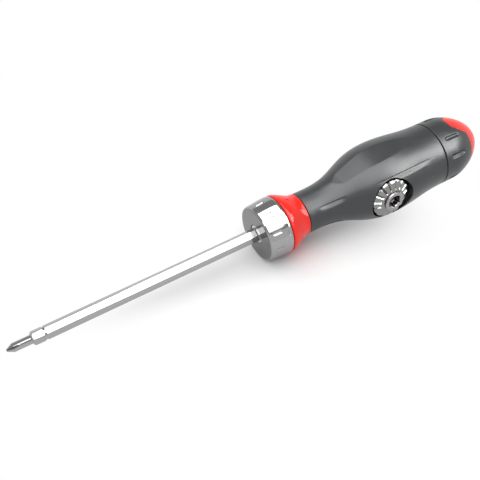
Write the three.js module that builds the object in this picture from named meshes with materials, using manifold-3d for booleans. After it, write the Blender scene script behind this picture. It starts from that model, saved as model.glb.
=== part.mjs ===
// A ratcheting screwdriver: a reversible hexagonal blade in a reversible ratchet head, a swelling
// handle with a hexagonal cross socket and its finger wheel in the side, and an end cap that swivels.
// Millimetres. While it is built, X runs along the tool's axis from the blade's tip, Z is up and the
// finger wheel faces -Y. Angles round the axis are in degrees from the top towards the wheel.
import * as THREE from "three";
import { mergeVertices } from "three/addons/utils/BufferGeometryUtils.js";
import Module from "manifold-3d";

const wasm = await Module();
wasm.setup();

// Gaps and facets
const FIT = 0.3; // gap between neighbouring pieces
const HEX_PLAY = 0.3; // hexagonal sockets over the blade, across flats
const FACETS = 32; // flats round the large turned pieces
const SMALL_FACETS = 20; // flats round the small turned pieces
const BALL_FACETS = 12;
const NOTCH_FACETS = 8;
const CURVE_STEPS = 7; // steps along a long curved stretch of outline
const SHORT_CURVE_STEPS = 3;
const HIDDEN_CURVE_STEPS = 4;
const BAR_END_STEPS = 2; // half the sides of a recess's round end
const RING_STEPS = 8; // half the sides of an open ring
const WIRE_STEPS = 3; // half the sides of a spring's wire
const MERGE = 1e-4;
const REACH = 60; // length of a cutter that runs right through
const OVERRUN = 1; // of a cutter past the face that it starts from

// Blade
const HEX_AF = 6.35; // quarter inch drive, across flats
const BLADE_LENGTH = 175;
const BLADE_HELD = 40.6; // of its length inside the head and the handle
const TIP_LENGTH = 12.3; // round length ahead of the hexagon
const TIP_R = 2.25;
const POINT_R = 0.65; // blunt end of the cross point
const POINT_LENGTH = 3;
const HEX_CHAMFER = 0.8;
const NOTCH_AT = 18.8; // retaining notch from the tip
const NOTCH_WIDTH = 1;
const NOTCH_DEPTH = 0.4;
const FLUTE_LENGTH = 7.5;
const FLUTE_CORE_R = 0.35; // what the flutes leave at the point
const FLUTE_WIDTH = 3.2; // mouth of a flute cutter
const FLUTE_DEPTH = 2.4; // depth of that cutter
const TIP_FLUTE_ANGLES = [45, 135, 225, 315];

// Selector ring
const SELECTOR_LENGTH = 13.3;
const SELECTOR_R = 15.66;
const SELECTOR_FACE_R = 13.9; // flat front face
const SELECTOR_EDGE_R = 14.85; // just behind the rounded front edge
const SELECTOR_EDGE = 1.8; // length of that edge
const SELECTOR_ROUND = 0.6; // first bevel of that edge
const BARREL_RISE = 0.15; // slope of the barrel behind the edge
const BARREL_EASE = 3.6; // reach of the barrel's curve before its crown
const FLANGE = 1.8; // front wall
const DIMPLES = 10; // places round the ring, one of them taken by the two bars
const BARS_ANGLE = 20.5;
const BARS_SPREAD = 5; // each bar from the middle of the pair, degrees
const DIMPLE_FROM_FACE = 5.4;
const DIMPLE_LENGTH = 5.4;
const DIMPLE_WIDTH = 1.9;
const DIMPLE_DEPTH = 0.45;
const BAR_LENGTH = 3.6;
const BAR_WIDTH = 0.8;
const BAR_DEPTH = 0.25;
const SELECTOR_TURN = 24; // to each side, degrees

// Ratchet housing
const HEAD_R = 12.5;
const SHANK_R = 8.2;
const SHANK_BORE_R = 6.9;
const SHANK_PAST = 4; // past the blade's end
const HEAD_FRONT_WALL = 1.9;
const CHAMBER_R = 8.3;

// Ratchet gear on the spindle
const TEETH = 24;
const GEAR_R = 8;
const TOOTH_DEPTH = 1.1;
const GEAR_WIDTH = 3.9;
const TOOTH_LAND = 0.14; // flat top, share of the pitch to each side
const ROOT_LAND = 0.38; // where the flank meets the root, share of the pitch from the tooth's middle
const NOSE_R = 4.8;
const JOURNAL_R = 5.3;
const TAIL_PAST = 3.4; // journal past the ring that holds the blade
const BUSH_WALL = 1;
const CLIP_WIDTH = 0.8;
const CLIP_BITE = 0.55; // depth of a circlip's groove
const CLIP_GAP = 50; // opening of a circlip, degrees
const BUSH_LENGTH = 9.7;
const WIRE = 0.45; // blade retaining rings
const WIRE_LENGTH = 0.8;

// Rocking pawl
const PAWL_PIVOT_R = 10;
const PAWL_PIN_R = 0.8;
const PAWL_BACK_R = 11.3;
const PAWL_HALF = 4.9;
const PAWL_END_LOW = 8.95;
const PAWL_END_HIGH = 10.55;
const PAWL_BELLY = 8.5;
const NOSE_ANGLE = 22.5; // a gap of the gear, one and a half teeth from the pivot
const NOSE_BITE = 0.3; // into the gear at rest
const NOSE_TIP = 0.12; // half width of a nose's tip
const NOSE_BACK = 0.8; // outer flank's run
const NOSE_FRONT = 0.35; // inner flank's run
const NOSE_RISE = 1.15;
const PAWL_BALL_R = 1.1;
const LEAF_THICKNESS = 0.3;
const LEAF_HALF_ANGLE = 8;
const LEAF_PLAY = 2; // its slot to each side, degrees
const LEAF_WIDTH = 1.9;
const PAWL_WINDOW = 13.2;
const WINDOW_DEPTH = 2; // below the tips of the gear's teeth

// Selector detent
const DETENT_BALL_R = 1.1;
const DETENT_PROUD = 0.7; // stands out of the head
const DETENT_TRAVEL = 0.6;
const DETENT_FLOOR_R = 7.6;
const NOTCH_EXTRA = 0.4; // notches below the ball's groove
const SPRING_WIRE_R = 0.16;
const SPRING_R = 0.72;
const SPRING_CURLS = 3;
const CURL_STEPS = 8;
const SNAP_WIDTH = 0.5;
const SNAP_GROOVE = 1;
const SNAP_DEPTH = 0.55;

// Index ring
const RING_LENGTH = 12.5;
const RING_FRONT_R = 15.6;
const RING_REAR_R = 11.35;
const RING_EDGE = 0.5;
const RING_FRONT_EASE = 3.9; // reach of the flare's front handle
const RING_FRONT_DROP = 0.5; // and its fall
const RING_REAR_EASE = 4.25;
const RING_REAR_RISE = 0.13;

// Grip and core
const NECK_R = 11.05;
const BELLY_R = 20.3;
const WAIST_R = 17.57;
const NECK_LENGTH = 7.2;
const SWELL_LENGTH = 43; // neck to belly
const TAPER_LENGTH = 33; // belly to waist
const SWELL_EASE = 20.4; // reach of the curve's handles
const BELLY_EASE = 12.4;
const WAIST_EASE = 13.5;
const GRIP_WALL = 1.2;
const CORE_SETBACK = 0.6; // core's rear face inside the grip's
const CAVITY_R = 7.5;
const GROOVE_ANGLES = [50, 130, 230, 310];
const GROOVE_DEPTH = 0.5;
const GROOVE_WIDTH = 2.6;
const NECK_GROOVE_FROM = 7;
const NECK_GROOVE_LENGTH = 15;
const BELLY_GROOVE_FROM = 41;
const BELLY_GROOVE_LENGTH = 32;
const DOWEL_R = 1;
const DOWEL_FROM_FRONT = 9;
const BOTTOM = 180; // places round the axis
const LEFT = 90;
const RIGHT = 270;

// Cross socket in the side
const SIDE_FROM_FRONT = 45.9; // wheel's middle behind the grip's front edge
const WHEEL_R = 11.6;
const WHEEL_RIM = 4.4; // straight rim
const WHEEL_GAP = 0.75; // open gap round the wheel
const WHEEL_FLUTES = 16;
const FLUTE_MOUTH = 2.3;
const FLUTE_CUT = 0.9;
const FLUTE_START = 0.75; // below the hub's flange
const POCKET_FLOOR = 12.5; // from the tool's axis
const HUB_FACE = 20.2;
const HUB_FLANGE = 1;
const HUB_FLANGE_R = 5.7;
const HUB_R = 5.4;
const HUB_INNER_END = 4;
const SIDE_BUSH_LENGTH = 4.4;
const CLICK_PIN_R = 0.8;
const CLICK_PIN_AT = 8.4; // from the wheel's axis
const CLICK_PIN_LENGTH = 5.1;
const CLICK_TRAVEL = 0.8;
const CLICK_BITE = 0.6; // pin past the pocket's floor
const CLICK_NOTCHES = 12;
const CLICK_BORE_FLOOR = 4.6;

// End cap
const CAP_LENGTH = 29.9;
const CAP_STRAIGHT = 6.7;
const CAP_SHOULDER = 10; // reach of the dome's handle along the axis
const CAP_CROWN = 9; // reach of the dome's handle across the axis
const CAP_GROOVE_ANGLES = [31, 65, 115, 149, 211, 245, 295, 329];
const CAP_GROOVE_FROM = 2.8;
const CAP_GROOVE_LENGTH = 10;
const CAP_GROOVE_DEPTH = 0.6;
const CAP_GROOVE_WIDTH = 2.4;
const CAP_WEB = 3;
const CAP_HOLLOW_R = 8.9;
const CARRIER_LENGTH = 8.6;
const CARRIER_PROUD = 1.2; // past the core's rear face
const WASHER = 0.8;
const WASHER_R = 6.9;
const SCREW_R = 2;
const SHOULDER_R = 3;
const SCREW_HEAD_R = 5.5;
const SCREW_HEAD = 2.8;
const SCREW_RECESS_AF = 4;
const SCREW_RECESS = 1.6;
const INSERT_THICKNESS = 2.6;
const INSERT_LOBE = 10.9; // lobes start behind the cap's front edge
const INSERT_DISC = 19.2; // full round starts there
const INSERT_LOBE_HALF = 2.6;
const INSERT_FLARE_HALF = 8.4;
const INSERT_CORNER = 1.2; // rounding of a lobe's front corners
const INSERT_BULGE = 1; // swell of a lobe's sides
const INSERT_SKIN = 1; // of the insert left outside its spigot

// Places along the axis
const FACE_X = BLADE_LENGTH - BLADE_HELD;
const SELECTOR_END = FACE_X + SELECTOR_LENGTH;
const RING_X = SELECTOR_END + FIT;
const RING_END = RING_X + RING_LENGTH;
const GRIP_X = RING_END + FIT;
const BELLY_X = GRIP_X + NECK_LENGTH + SWELL_LENGTH;
const GRIP_END = BELLY_X + TAPER_LENGTH;
const CORE_END = GRIP_END - CORE_SETBACK;
const CAP_X = GRIP_END + FIT;
const CAP_END = CAP_X + CAP_LENGTH;
const FLANGE_X = FACE_X + FLANGE;
const HEAD_X = FLANGE_X + FIT;
const CHAMBER_X = HEAD_X + HEAD_FRONT_WALL;
const GEAR_X = CHAMBER_X + FIT;
const GEAR_END = GEAR_X + GEAR_WIDTH;
const CHAMBER_END = GEAR_END + FIT;
const SHANK_END = BLADE_LENGTH + SHANK_PAST;
const SIDE_X = GRIP_X + SIDE_FROM_FRONT;

// Radii that follow from their neighbours
const SOCKET_AF = HEX_AF + HEX_PLAY;
const HEX_CORNER_R = HEX_AF / Math.sqrt(3);
const SELECTOR_BORE_R = HEAD_R + FIT;
const SELECTOR_DIMPLE_R = (SELECTOR_R + SELECTOR_EDGE_R) / 2; // under the dimples
const NOSE_HOLE_R = NOSE_R + FIT;
const BUSH_BORE_R = JOURNAL_R + FIT;
const SIDE_BUSH_BORE_R = HUB_R + FIT;
const SIDE_BUSH_R = SIDE_BUSH_BORE_R + BUSH_WALL;
const SIDE_BORE_R = SIDE_BUSH_R + FIT;
const POCKET_R = WHEEL_R + WHEEL_GAP;
const WHEEL_BACK = POCKET_FLOOR + FIT;
const WHEEL_BORE_R = HUB_R + FIT;
const WHEEL_TOP = HUB_FACE - HUB_FLANGE - FIT;
const CARRIER_R = CAVITY_R - FIT;
const SHANK_HOLE_R = SHANK_R + FIT;
const WIRE_R = HEX_CORNER_R + 0.6 * FIT;
const WIRE_GROOVE_R = WIRE_R + WIRE + 0.5 * FIT;

// On the spindle's tail: the bush, its circlip, then the ring that holds the blade by its notch
const BUSH_X = CHAMBER_END + FIT;
const BUSH_END = BUSH_X + BUSH_LENGTH;
const CLIP_X = BUSH_END + 2 * FIT;
const WIRE_X = BLADE_LENGTH - NOTCH_AT - WIRE_LENGTH / 2;
const SPINDLE_END = WIRE_X + WIRE_LENGTH + TAIL_PAST;

// Round the ratchet head
const SNAP_X = SELECTOR_END - SNAP_GROOVE - 1.5 * FIT;
const DETENT_X = SNAP_X - 2 * FIT - DETENT_BALL_R - FIT;
const DETENT_BALL_AT = HEAD_R + DETENT_PROUD - DETENT_BALL_R;
const DETENT_GROOVE_R = HEAD_R + DETENT_PROUD + FIT;
const PIN_END = SELECTOR_END - 3 * FIT;
const DOWEL_X = GRIP_X + DOWEL_FROM_FRONT;
const PAWL_MIDDLE = (GEAR_X + GEAR_END) / 2;
const PAWL_BALL_AT = PAWL_BACK_R + 2 * FIT + PAWL_BALL_R;
const LEAF_R = PAWL_BALL_AT + PAWL_BALL_R + FIT;

// Cross socket, from the tool's axis outwards
const SIDE_BUSH_X = POCKET_FLOOR - SIDE_BUSH_LENGTH;
const SIDE_CLIP_X = SIDE_BUSH_X - 2 * FIT - CLIP_WIDTH;
const CLICK_TIP = POCKET_FLOOR + CLICK_BITE;
const CLICK_PIN_X = CLICK_TIP - CLICK_PIN_LENGTH;
const SIDE_WIRE_X = (POCKET_FLOOR + HUB_FACE) / 2;

// Stack that holds the end cap
const CARRIER_END = CORE_END + CARRIER_PROUD;
const CARRIER_X = CARRIER_END - CARRIER_LENGTH;
const WASHER_X = CARRIER_END + FIT;
const WEB_X = WASHER_X + WASHER + FIT;
const WEB_END = WEB_X + CAP_WEB;
const SPRING_WASHER_X = WEB_END + FIT;
const SCREW_HEAD_X = SPRING_WASHER_X + WASHER + FIT;
const SCREW_END = SCREW_HEAD_X + SCREW_HEAD;

const rad = THREE.MathUtils.degToRad;

// Closed meshes and booleans
function signedVolume(geometry) {
  const at = geometry.attributes.position;
  const ids = geometry.index.array;
  const corner = [new THREE.Vector3(), new THREE.Vector3(), new THREE.Vector3()];
  let sum = 0;
  for (let i = 0; i < ids.length; i += 3) {
    corner.forEach((v, k) => v.fromBufferAttribute(at, ids[i + k]));
    sum += corner[0].dot(corner[1].clone().cross(corner[2]));
  }
  return sum / 6;
}

function closed(geometry) {
  const bare = geometry.clone();
  bare.deleteAttribute("normal");
  bare.deleteAttribute("uv");
  const merged = mergeVertices(bare, MERGE);
  const ids = merged.index.array;
  const kept = [];
  for (let i = 0; i < ids.length; i += 3) {
    const [a, b, c] = [ids[i], ids[i + 1], ids[i + 2]];
    if (a !== b && b !== c && c !== a) kept.push(a, b, c);
  }
  merged.setIndex(kept);
  if (signedVolume(merged) < 0) {
    for (let i = 0; i < kept.length; i += 3) [kept[i], kept[i + 1]] = [kept[i + 1], kept[i]];
    merged.setIndex(kept);
  }
  return merged;
}

function solidOf(geometry) {
  const mesh = closed(geometry);
  const vertProperties = new Float32Array(mesh.attributes.position.array);
  const triVerts = new Uint32Array(mesh.index.array);
  return new wasm.Manifold(new wasm.Mesh({ numProp: 3, vertProperties, triVerts }));
}

function geometryOf(solid) {
  const mesh = solid.getMesh();
  const geometry = new THREE.BufferGeometry();
  geometry.setAttribute("position", new THREE.BufferAttribute(mesh.vertProperties, mesh.numProp));
  geometry.setIndex(new THREE.BufferAttribute(mesh.triVerts, 1));
  return geometry;
}

function cut(body, ...tools) {
  return geometryOf(tools.reduce((left, tool) => left.subtract(solidOf(tool)), solidOf(body)));
}

function join(first, ...others) {
  return geometryOf(others.reduce((sum, other) => sum.add(solidOf(other)), solidOf(first)));
}

function common(a, b) {
  return geometryOf(solidOf(a).intersect(solidOf(b)));
}

// Shapes. A turned piece has its axis along X, and its outline is a list of [x, radius].
function turned(outline, facets = FACETS) {
  const points = outline.map(([x, r]) => new THREE.Vector2(r, x));
  const last = points[points.length - 1];
  const onAxis = points[0].x === 0 && last.x === 0;
  if (!onAxis) points.push(points[0].clone());
  const half = Math.PI / facets;
  return closed(new THREE.LatheGeometry(points, facets, half).rotateZ(-Math.PI / 2));
}

function disc(x0, x1, r, facets = FACETS) {
  return turned([[x0, 0], [x0, r], [x1, r], [x1, 0]], facets);
}

function tube(x0, x1, inner, outer, facets = FACETS) {
  return turned([[x0, inner], [x0, outer], [x1, outer], [x1, inner]], facets);
}

// A prism along X whose outline is a list of [y, z]
function prism(outline, x0, x1) {
  const shape = new THREE.Shape(outline.map(([y, z]) => new THREE.Vector2(-z, y)));
  const geometry = new THREE.ExtrudeGeometry(shape, { depth: x1 - x0, bevelEnabled: false });
  return closed(geometry.rotateY(Math.PI / 2).translate(x0, 0, 0));
}

function hexagon(acrossFlats) {
  const corners = [0, 1, 2, 3, 4, 5].map((i) => rad(90 + 60 * i));
  const r = acrossFlats / Math.sqrt(3);
  return corners.map((a) => [r * Math.cos(a), r * Math.sin(a)]);
}

// An open ring in a groove, with its gap at the top
function openRing(x0, x1, inner, outer, gapDegrees) {
  const from = rad(gapDegrees / 2);
  const shape = new THREE.Shape();
  shape.absarc(0, 0, outer, Math.PI + from, 3 * Math.PI - from, false);
  shape.absarc(0, 0, inner, 3 * Math.PI - from, Math.PI + from, true);
  const options = { depth: x1 - x0, bevelEnabled: false, curveSegments: RING_STEPS };
  return closed(new THREE.ExtrudeGeometry(shape, options).rotateY(Math.PI / 2).translate(x0, 0, 0));
}

// A cutter with the outline of a round-ended bar along X, which stands out from a floor at an angle
function roundBar(x0, length, width, floorR, angle) {
  const r = width / 2;
  const shape = new THREE.Shape();
  shape.absarc(x0 + length - r, 0, r, -Math.PI / 2, Math.PI / 2, false);
  shape.absarc(x0 + r, 0, r, Math.PI / 2, 1.5 * Math.PI, false);
  const options = { depth: REACH, bevelEnabled: false, curveSegments: BAR_END_STEPS };
  const bar = new THREE.ExtrudeGeometry(shape, options).translate(0, 0, floorR);
  return closed(bar.rotateX(rad(angle)));
}

// Shallow recesses of one depth, which follow the floor's surface
function recessed(body, floor, bars) {
  return cut(body, ...bars.map((bar) => cut(bar, floor)));
}

function ball(x, r) {
  return closed(new THREE.SphereGeometry(r, BALL_FACETS, BALL_FACETS / 2).translate(x, 0, 0));
}

function coilSpring(x0, x1) {
  const points = [];
  const steps = SPRING_CURLS * CURL_STEPS;
  const run = x1 - x0 - 2 * SPRING_WIRE_R;
  for (let i = 0; i <= steps; i += 1) {
    const a = (2 * Math.PI * i) / CURL_STEPS;
    const x = x0 + SPRING_WIRE_R + (run * i) / steps;
    points.push(new THREE.Vector3(x, SPRING_R * Math.cos(a), SPRING_R * Math.sin(a)));
  }
  const wire = new THREE.Shape();
  wire.absarc(0, 0, SPRING_WIRE_R, 0, 2 * Math.PI, false);
  const options = { steps, extrudePath: new THREE.CatmullRomCurve3(points), curveSegments: WIRE_STEPS };
  return closed(new THREE.ExtrudeGeometry(wire, options));
}

// Outlines of the large turned pieces
function curve(points, steps = CURVE_STEPS) {
  const [a, b, c, d] = points.map(([x, r]) => new THREE.Vector2(x, r));
  return new THREE.CubicBezierCurve(a, b, c, d).getPoints(steps).map((p) => [p.x, p.y]);
}

function gripOutline(inset = 0, steps = CURVE_STEPS) {
  const neckEnd = GRIP_X + NECK_LENGTH;
  const neck = NECK_R - inset;
  const belly = BELLY_R - inset;
  const waist = WAIST_R - inset;
  const swell = [
    [neckEnd, neck],
    [neckEnd + SWELL_EASE, neck],
    [BELLY_X - SWELL_EASE, belly],
    [BELLY_X, belly],
  ];
  const taper = [
    [BELLY_X, belly],
    [BELLY_X + BELLY_EASE, belly],
    [GRIP_END - WAIST_EASE, waist],
    [GRIP_END, waist],
  ];
  return [[GRIP_X, neck], ...curve(swell, steps), ...curve(taper, steps).slice(1)];
}

function capOutline(inset = 0) {
  const straightEnd = CAP_X + CAP_STRAIGHT;
  const r = WAIST_R - inset;
  const end = CAP_END - inset;
  const dome = [
    [straightEnd, r],
    [straightEnd + CAP_SHOULDER, r],
    [end, CAP_CROWN - inset],
    [end, 0],
  ];
  return [[CAP_X, 0], [CAP_X, r], ...curve(dome)];
}

function selectorOutline() {
  const edgeEnd = FACE_X + SELECTOR_EDGE;
  const crown = SELECTOR_END - SELECTOR_EDGE;
  const corners = [
    [edgeEnd, SELECTOR_EDGE_R],
    [edgeEnd + SELECTOR_EDGE, SELECTOR_EDGE_R + BARREL_RISE],
    [crown - BARREL_EASE, SELECTOR_R],
    [crown, SELECTOR_R],
  ];
  const barrel = curve(corners, SHORT_CURVE_STEPS);
  const edge = [
    [FACE_X, SELECTOR_FACE_R],
    [FACE_X + SELECTOR_ROUND, SELECTOR_FACE_R + SELECTOR_ROUND],
  ];
  const rear = [[SELECTOR_END - FIT, SELECTOR_R], [SELECTOR_END, SELECTOR_R - FIT]];
  return [...edge, ...barrel, ...rear];
}

// Blade
function crossTip() {
  const body = turned(
    [
      [0, 0],
      [0, POINT_R],
      [POINT_LENGTH, TIP_R],
      [TIP_LENGTH + HEX_CHAMFER, TIP_R],
      [TIP_LENGTH + HEX_CHAMFER, 0],
    ],
    SMALL_FACETS,
  );
  const slope = Math.atan2(TIP_R - FLUTE_CORE_R, FLUTE_LENGTH);
  const vee = [[0, 0], [FLUTE_WIDTH / 2, FLUTE_DEPTH], [-FLUTE_WIDTH / 2, FLUTE_DEPTH]];
  const flutes = TIP_FLUTE_ANGLES.map((angle) =>
    prism(vee, -OVERRUN, FLUTE_LENGTH + FLUTE_DEPTH)
      .rotateY(-slope)
      .translate(0, 0, FLUTE_CORE_R)
      .rotateX(rad(angle)),
  );
  return cut(body, ...flutes);
}

function blade() {
  const far = BLADE_LENGTH - TIP_LENGTH;
  const notch = [
    [NOTCH_AT - NOTCH_WIDTH, HEX_CORNER_R + FIT],
    [NOTCH_AT - NOTCH_WIDTH / 2, HEX_CORNER_R - NOTCH_DEPTH],
    [NOTCH_AT + NOTCH_WIDTH / 2, HEX_CORNER_R - NOTCH_DEPTH],
    [NOTCH_AT + NOTCH_WIDTH, HEX_CORNER_R + FIT],
  ];
  const nearEnd = [
    [TIP_LENGTH, 0],
    [TIP_LENGTH, HEX_CORNER_R - HEX_CHAMFER],
    [TIP_LENGTH + HEX_CHAMFER, HEX_CORNER_R],
    ...notch,
  ];
  const farEnd = nearEnd.map(([x, r]) => [BLADE_LENGTH - x, r]).reverse();
  const chamfered = turned([...nearEnd, ...farEnd], SMALL_FACETS);
  const shank = common(prism(hexagon(HEX_AF), TIP_LENGTH, far), chamfered);
  const nearTip = crossTip();
  const farTip = nearTip.clone().rotateZ(Math.PI).translate(BLADE_LENGTH, 0, 0);
  return join(shank, nearTip, farTip);
}

// Cutters for the grooves of a retaining ring inside a hexagonal socket and a circlip on a journal
function wireGroove(x) {
  return disc(x - FIT, x + WIRE_LENGTH + FIT, WIRE_GROOVE_R, SMALL_FACETS);
}

function clipGroove(x, journalR) {
  const outer = journalR + BUSH_WALL + FIT;
  return tube(x - FIT, x + CLIP_WIDTH + FIT, journalR - CLIP_BITE, outer, SMALL_FACETS);
}

// Spindle with the ratchet gear
function gearOutline() {
  const pitch = 360 / TEETH;
  const root = GEAR_R - TOOTH_DEPTH;
  const points = [];
  for (let i = 0; i < TEETH; i += 1) {
    const corners = [
      [-ROOT_LAND, root],
      [-TOOTH_LAND, GEAR_R],
      [TOOTH_LAND, GEAR_R],
      [ROOT_LAND, root],
    ];
    for (const [share, r] of corners) {
      const a = rad(90 + pitch * (i + share));
      points.push([r * Math.cos(a), r * Math.sin(a)]);
    }
  }
  return points;
}

function spindle() {
  const nose = disc(FACE_X + FIT, GEAR_X + OVERRUN, NOSE_R, SMALL_FACETS);
  const gear = prism(gearOutline(), GEAR_X, GEAR_END);
  const journal = disc(GEAR_END - OVERRUN, SPINDLE_END, JOURNAL_R, SMALL_FACETS);
  const socket = prism(hexagon(SOCKET_AF), FACE_X - OVERRUN, SPINDLE_END + OVERRUN);
  return cut(join(nose, gear, journal), socket, wireGroove(WIRE_X), clipGroove(CLIP_X, JOURNAL_R));
}

function circlip(x, journalR) {
  const inner = journalR - CLIP_BITE + 0.6 * FIT;
  return openRing(x, x + CLIP_WIDTH, inner, journalR + BUSH_WALL + FIT, CLIP_GAP);
}

// Ratchet housing
function housing() {
  const outline = [
    [HEAD_X, CHAMBER_R],
    [HEAD_X, HEAD_R],
    [SNAP_X, HEAD_R],
    [SNAP_X, HEAD_R - SNAP_DEPTH],
    [SNAP_X + SNAP_GROOVE, HEAD_R - SNAP_DEPTH],
    [SNAP_X + SNAP_GROOVE, HEAD_R],
    [SELECTOR_END, HEAD_R],
    [SELECTOR_END, SHANK_R],
    [SHANK_END, SHANK_R],
    [SHANK_END, SHANK_BORE_R],
    [CHAMBER_END, SHANK_BORE_R],
    [CHAMBER_END, CHAMBER_R],
  ];
  const windowSide = PAWL_WINDOW / 2;
  const windowFloor = GEAR_R - WINDOW_DEPTH;
  const window = prism(
    [[-windowSide, windowFloor], [windowSide, windowFloor], [windowSide, REACH], [-windowSide, REACH]],
    CHAMBER_X,
    CHAMBER_END,
  );
  const pinBore = disc(HEAD_X - OVERRUN, PIN_END + FIT, PAWL_PIN_R + FIT, SMALL_FACETS);
  const pocket = disc(DETENT_FLOOR_R, HEAD_R + OVERRUN, DETENT_BALL_R + 0.5 * FIT, SMALL_FACETS);
  return cut(
    turned(outline, SMALL_FACETS),
    window,
    pinBore.translate(0, 0, PAWL_PIVOT_R),
    radial(pocket, DETENT_X, BOTTOM),
    ...dowelBores(),
  );
}

// Turns a piece made along X, with x as the distance from the axis, to stand out at an angle round it
function radial(geometry, x, angle) {
  return geometry.clone().rotateY(-Math.PI / 2).rotateX(rad(angle)).translate(x, 0, 0);
}

function dowelBores() {
  return [LEFT, RIGHT].map((angle) => radial(disc(0, REACH, DOWEL_R + FIT, SMALL_FACETS), DOWEL_X, angle));
}

function rockingPawl() {
  const tipR = GEAR_R - NOSE_BITE;
  const tipY = tipR * Math.sin(rad(NOSE_ANGLE));
  const tipZ = tipR * Math.cos(rad(NOSE_ANGLE));
  const side = [
    [tipY - NOSE_FRONT - NOSE_TIP, PAWL_BELLY],
    [tipY - NOSE_TIP, tipZ],
    [tipY + NOSE_TIP, tipZ - NOSE_TIP],
    [tipY + NOSE_BACK, tipZ + NOSE_RISE],
    [PAWL_HALF, PAWL_END_LOW],
    [PAWL_HALF, PAWL_END_HIGH],
    [NOSE_BACK, PAWL_BACK_R],
  ];
  const mirrored = side.map(([y, z]) => [-y, z]).reverse();
  const pin = disc(GEAR_X - OVERRUN, GEAR_END + OVERRUN, PAWL_PIN_R + FIT, SMALL_FACETS);
  return cut(prism([...side, ...mirrored], GEAR_X, GEAR_END), pin.translate(0, 0, PAWL_PIVOT_R));
}

// A curved strip round the axis, in the middle at the top
function arcStrip(x0, x1, inner, outer, halfAngle) {
  const from = rad(180 - halfAngle);
  const to = rad(180 + halfAngle);
  const shape = new THREE.Shape();
  shape.absarc(0, 0, outer, from, to, false);
  shape.absarc(0, 0, inner, to, from, true);
  const options = { depth: x1 - x0, bevelEnabled: false, curveSegments: WIRE_STEPS };
  return closed(new THREE.ExtrudeGeometry(shape, options).rotateY(Math.PI / 2).translate(x0, 0, 0));
}

function selectorRing() {
  const bore = [
    [SELECTOR_END, SELECTOR_BORE_R],
    [SNAP_X + SNAP_GROOVE, SELECTOR_BORE_R],
    [SNAP_X + SNAP_GROOVE, SELECTOR_BORE_R + SNAP_DEPTH],
    [SNAP_X, SELECTOR_BORE_R + SNAP_DEPTH],
    [SNAP_X, SELECTOR_BORE_R],
    [DETENT_X + DETENT_BALL_R, SELECTOR_BORE_R],
    [DETENT_X + DETENT_BALL_R, DETENT_GROOVE_R],
    [DETENT_X - DETENT_BALL_R, DETENT_GROOVE_R],
    [DETENT_X - DETENT_BALL_R, SELECTOR_BORE_R],
    [FLANGE_X, SELECTOR_BORE_R],
    [FLANGE_X, NOSE_HOLE_R],
    [FACE_X, NOSE_HOLE_R],
  ];
  const body = turned([...selectorOutline(), ...bore]);
  const leafSlot = arcStrip(
    PAWL_MIDDLE - LEAF_WIDTH / 2 - FIT,
    PAWL_MIDDLE + LEAF_WIDTH / 2 + FIT,
    SELECTOR_BORE_R - OVERRUN,
    LEAF_R + LEAF_THICKNESS + FIT,
    LEAF_HALF_ANGLE + LEAF_PLAY,
  );
  const notchTop = DETENT_GROOVE_R + NOTCH_EXTRA;
  const notches = [-SELECTOR_TURN, 0, SELECTOR_TURN].map((turn) =>
    radial(disc(HEAD_R, notchTop, DETENT_BALL_R - 0.5 * FIT, NOTCH_FACETS), DETENT_X, BOTTOM + turn),
  );
  const middle = FACE_X + DIMPLE_FROM_FACE;
  const dimples = [];
  for (let i = 1; i < DIMPLES; i += 1) {
    const angle = BARS_ANGLE + (360 * i) / DIMPLES;
    const floorR = SELECTOR_DIMPLE_R - DIMPLE_DEPTH;
    dimples.push(roundBar(middle - DIMPLE_LENGTH / 2, DIMPLE_LENGTH, DIMPLE_WIDTH, floorR, angle));
  }
  for (const spread of [-BARS_SPREAD, BARS_SPREAD]) {
    const floorR = SELECTOR_DIMPLE_R - BAR_DEPTH;
    dimples.push(roundBar(middle - BAR_LENGTH / 2, BAR_LENGTH, BAR_WIDTH, floorR, BARS_ANGLE + spread));
  }
  return cut(body, ...dimples, leafSlot, ...notches);
}

function indexRing() {
  const flareFrom = RING_X + RING_EDGE;
  const flare = curve([
    [flareFrom, RING_FRONT_R],
    [flareFrom + RING_FRONT_EASE, RING_FRONT_R - RING_FRONT_DROP],
    [RING_END - RING_REAR_EASE, RING_REAR_R + RING_REAR_RISE],
    [RING_END, RING_REAR_R],
  ]);
  const front = [[RING_X, SHANK_HOLE_R], [RING_X, RING_FRONT_R - RING_EDGE]];
  return turned([...front, ...flare, [RING_END, SHANK_HOLE_R]]);
}

// Cross socket pieces, made along X with x as the distance from the tool's axis
function crossways(geometry) {
  return geometry.clone().rotateZ(-Math.PI / 2).translate(SIDE_X, 0, 0);
}

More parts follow.
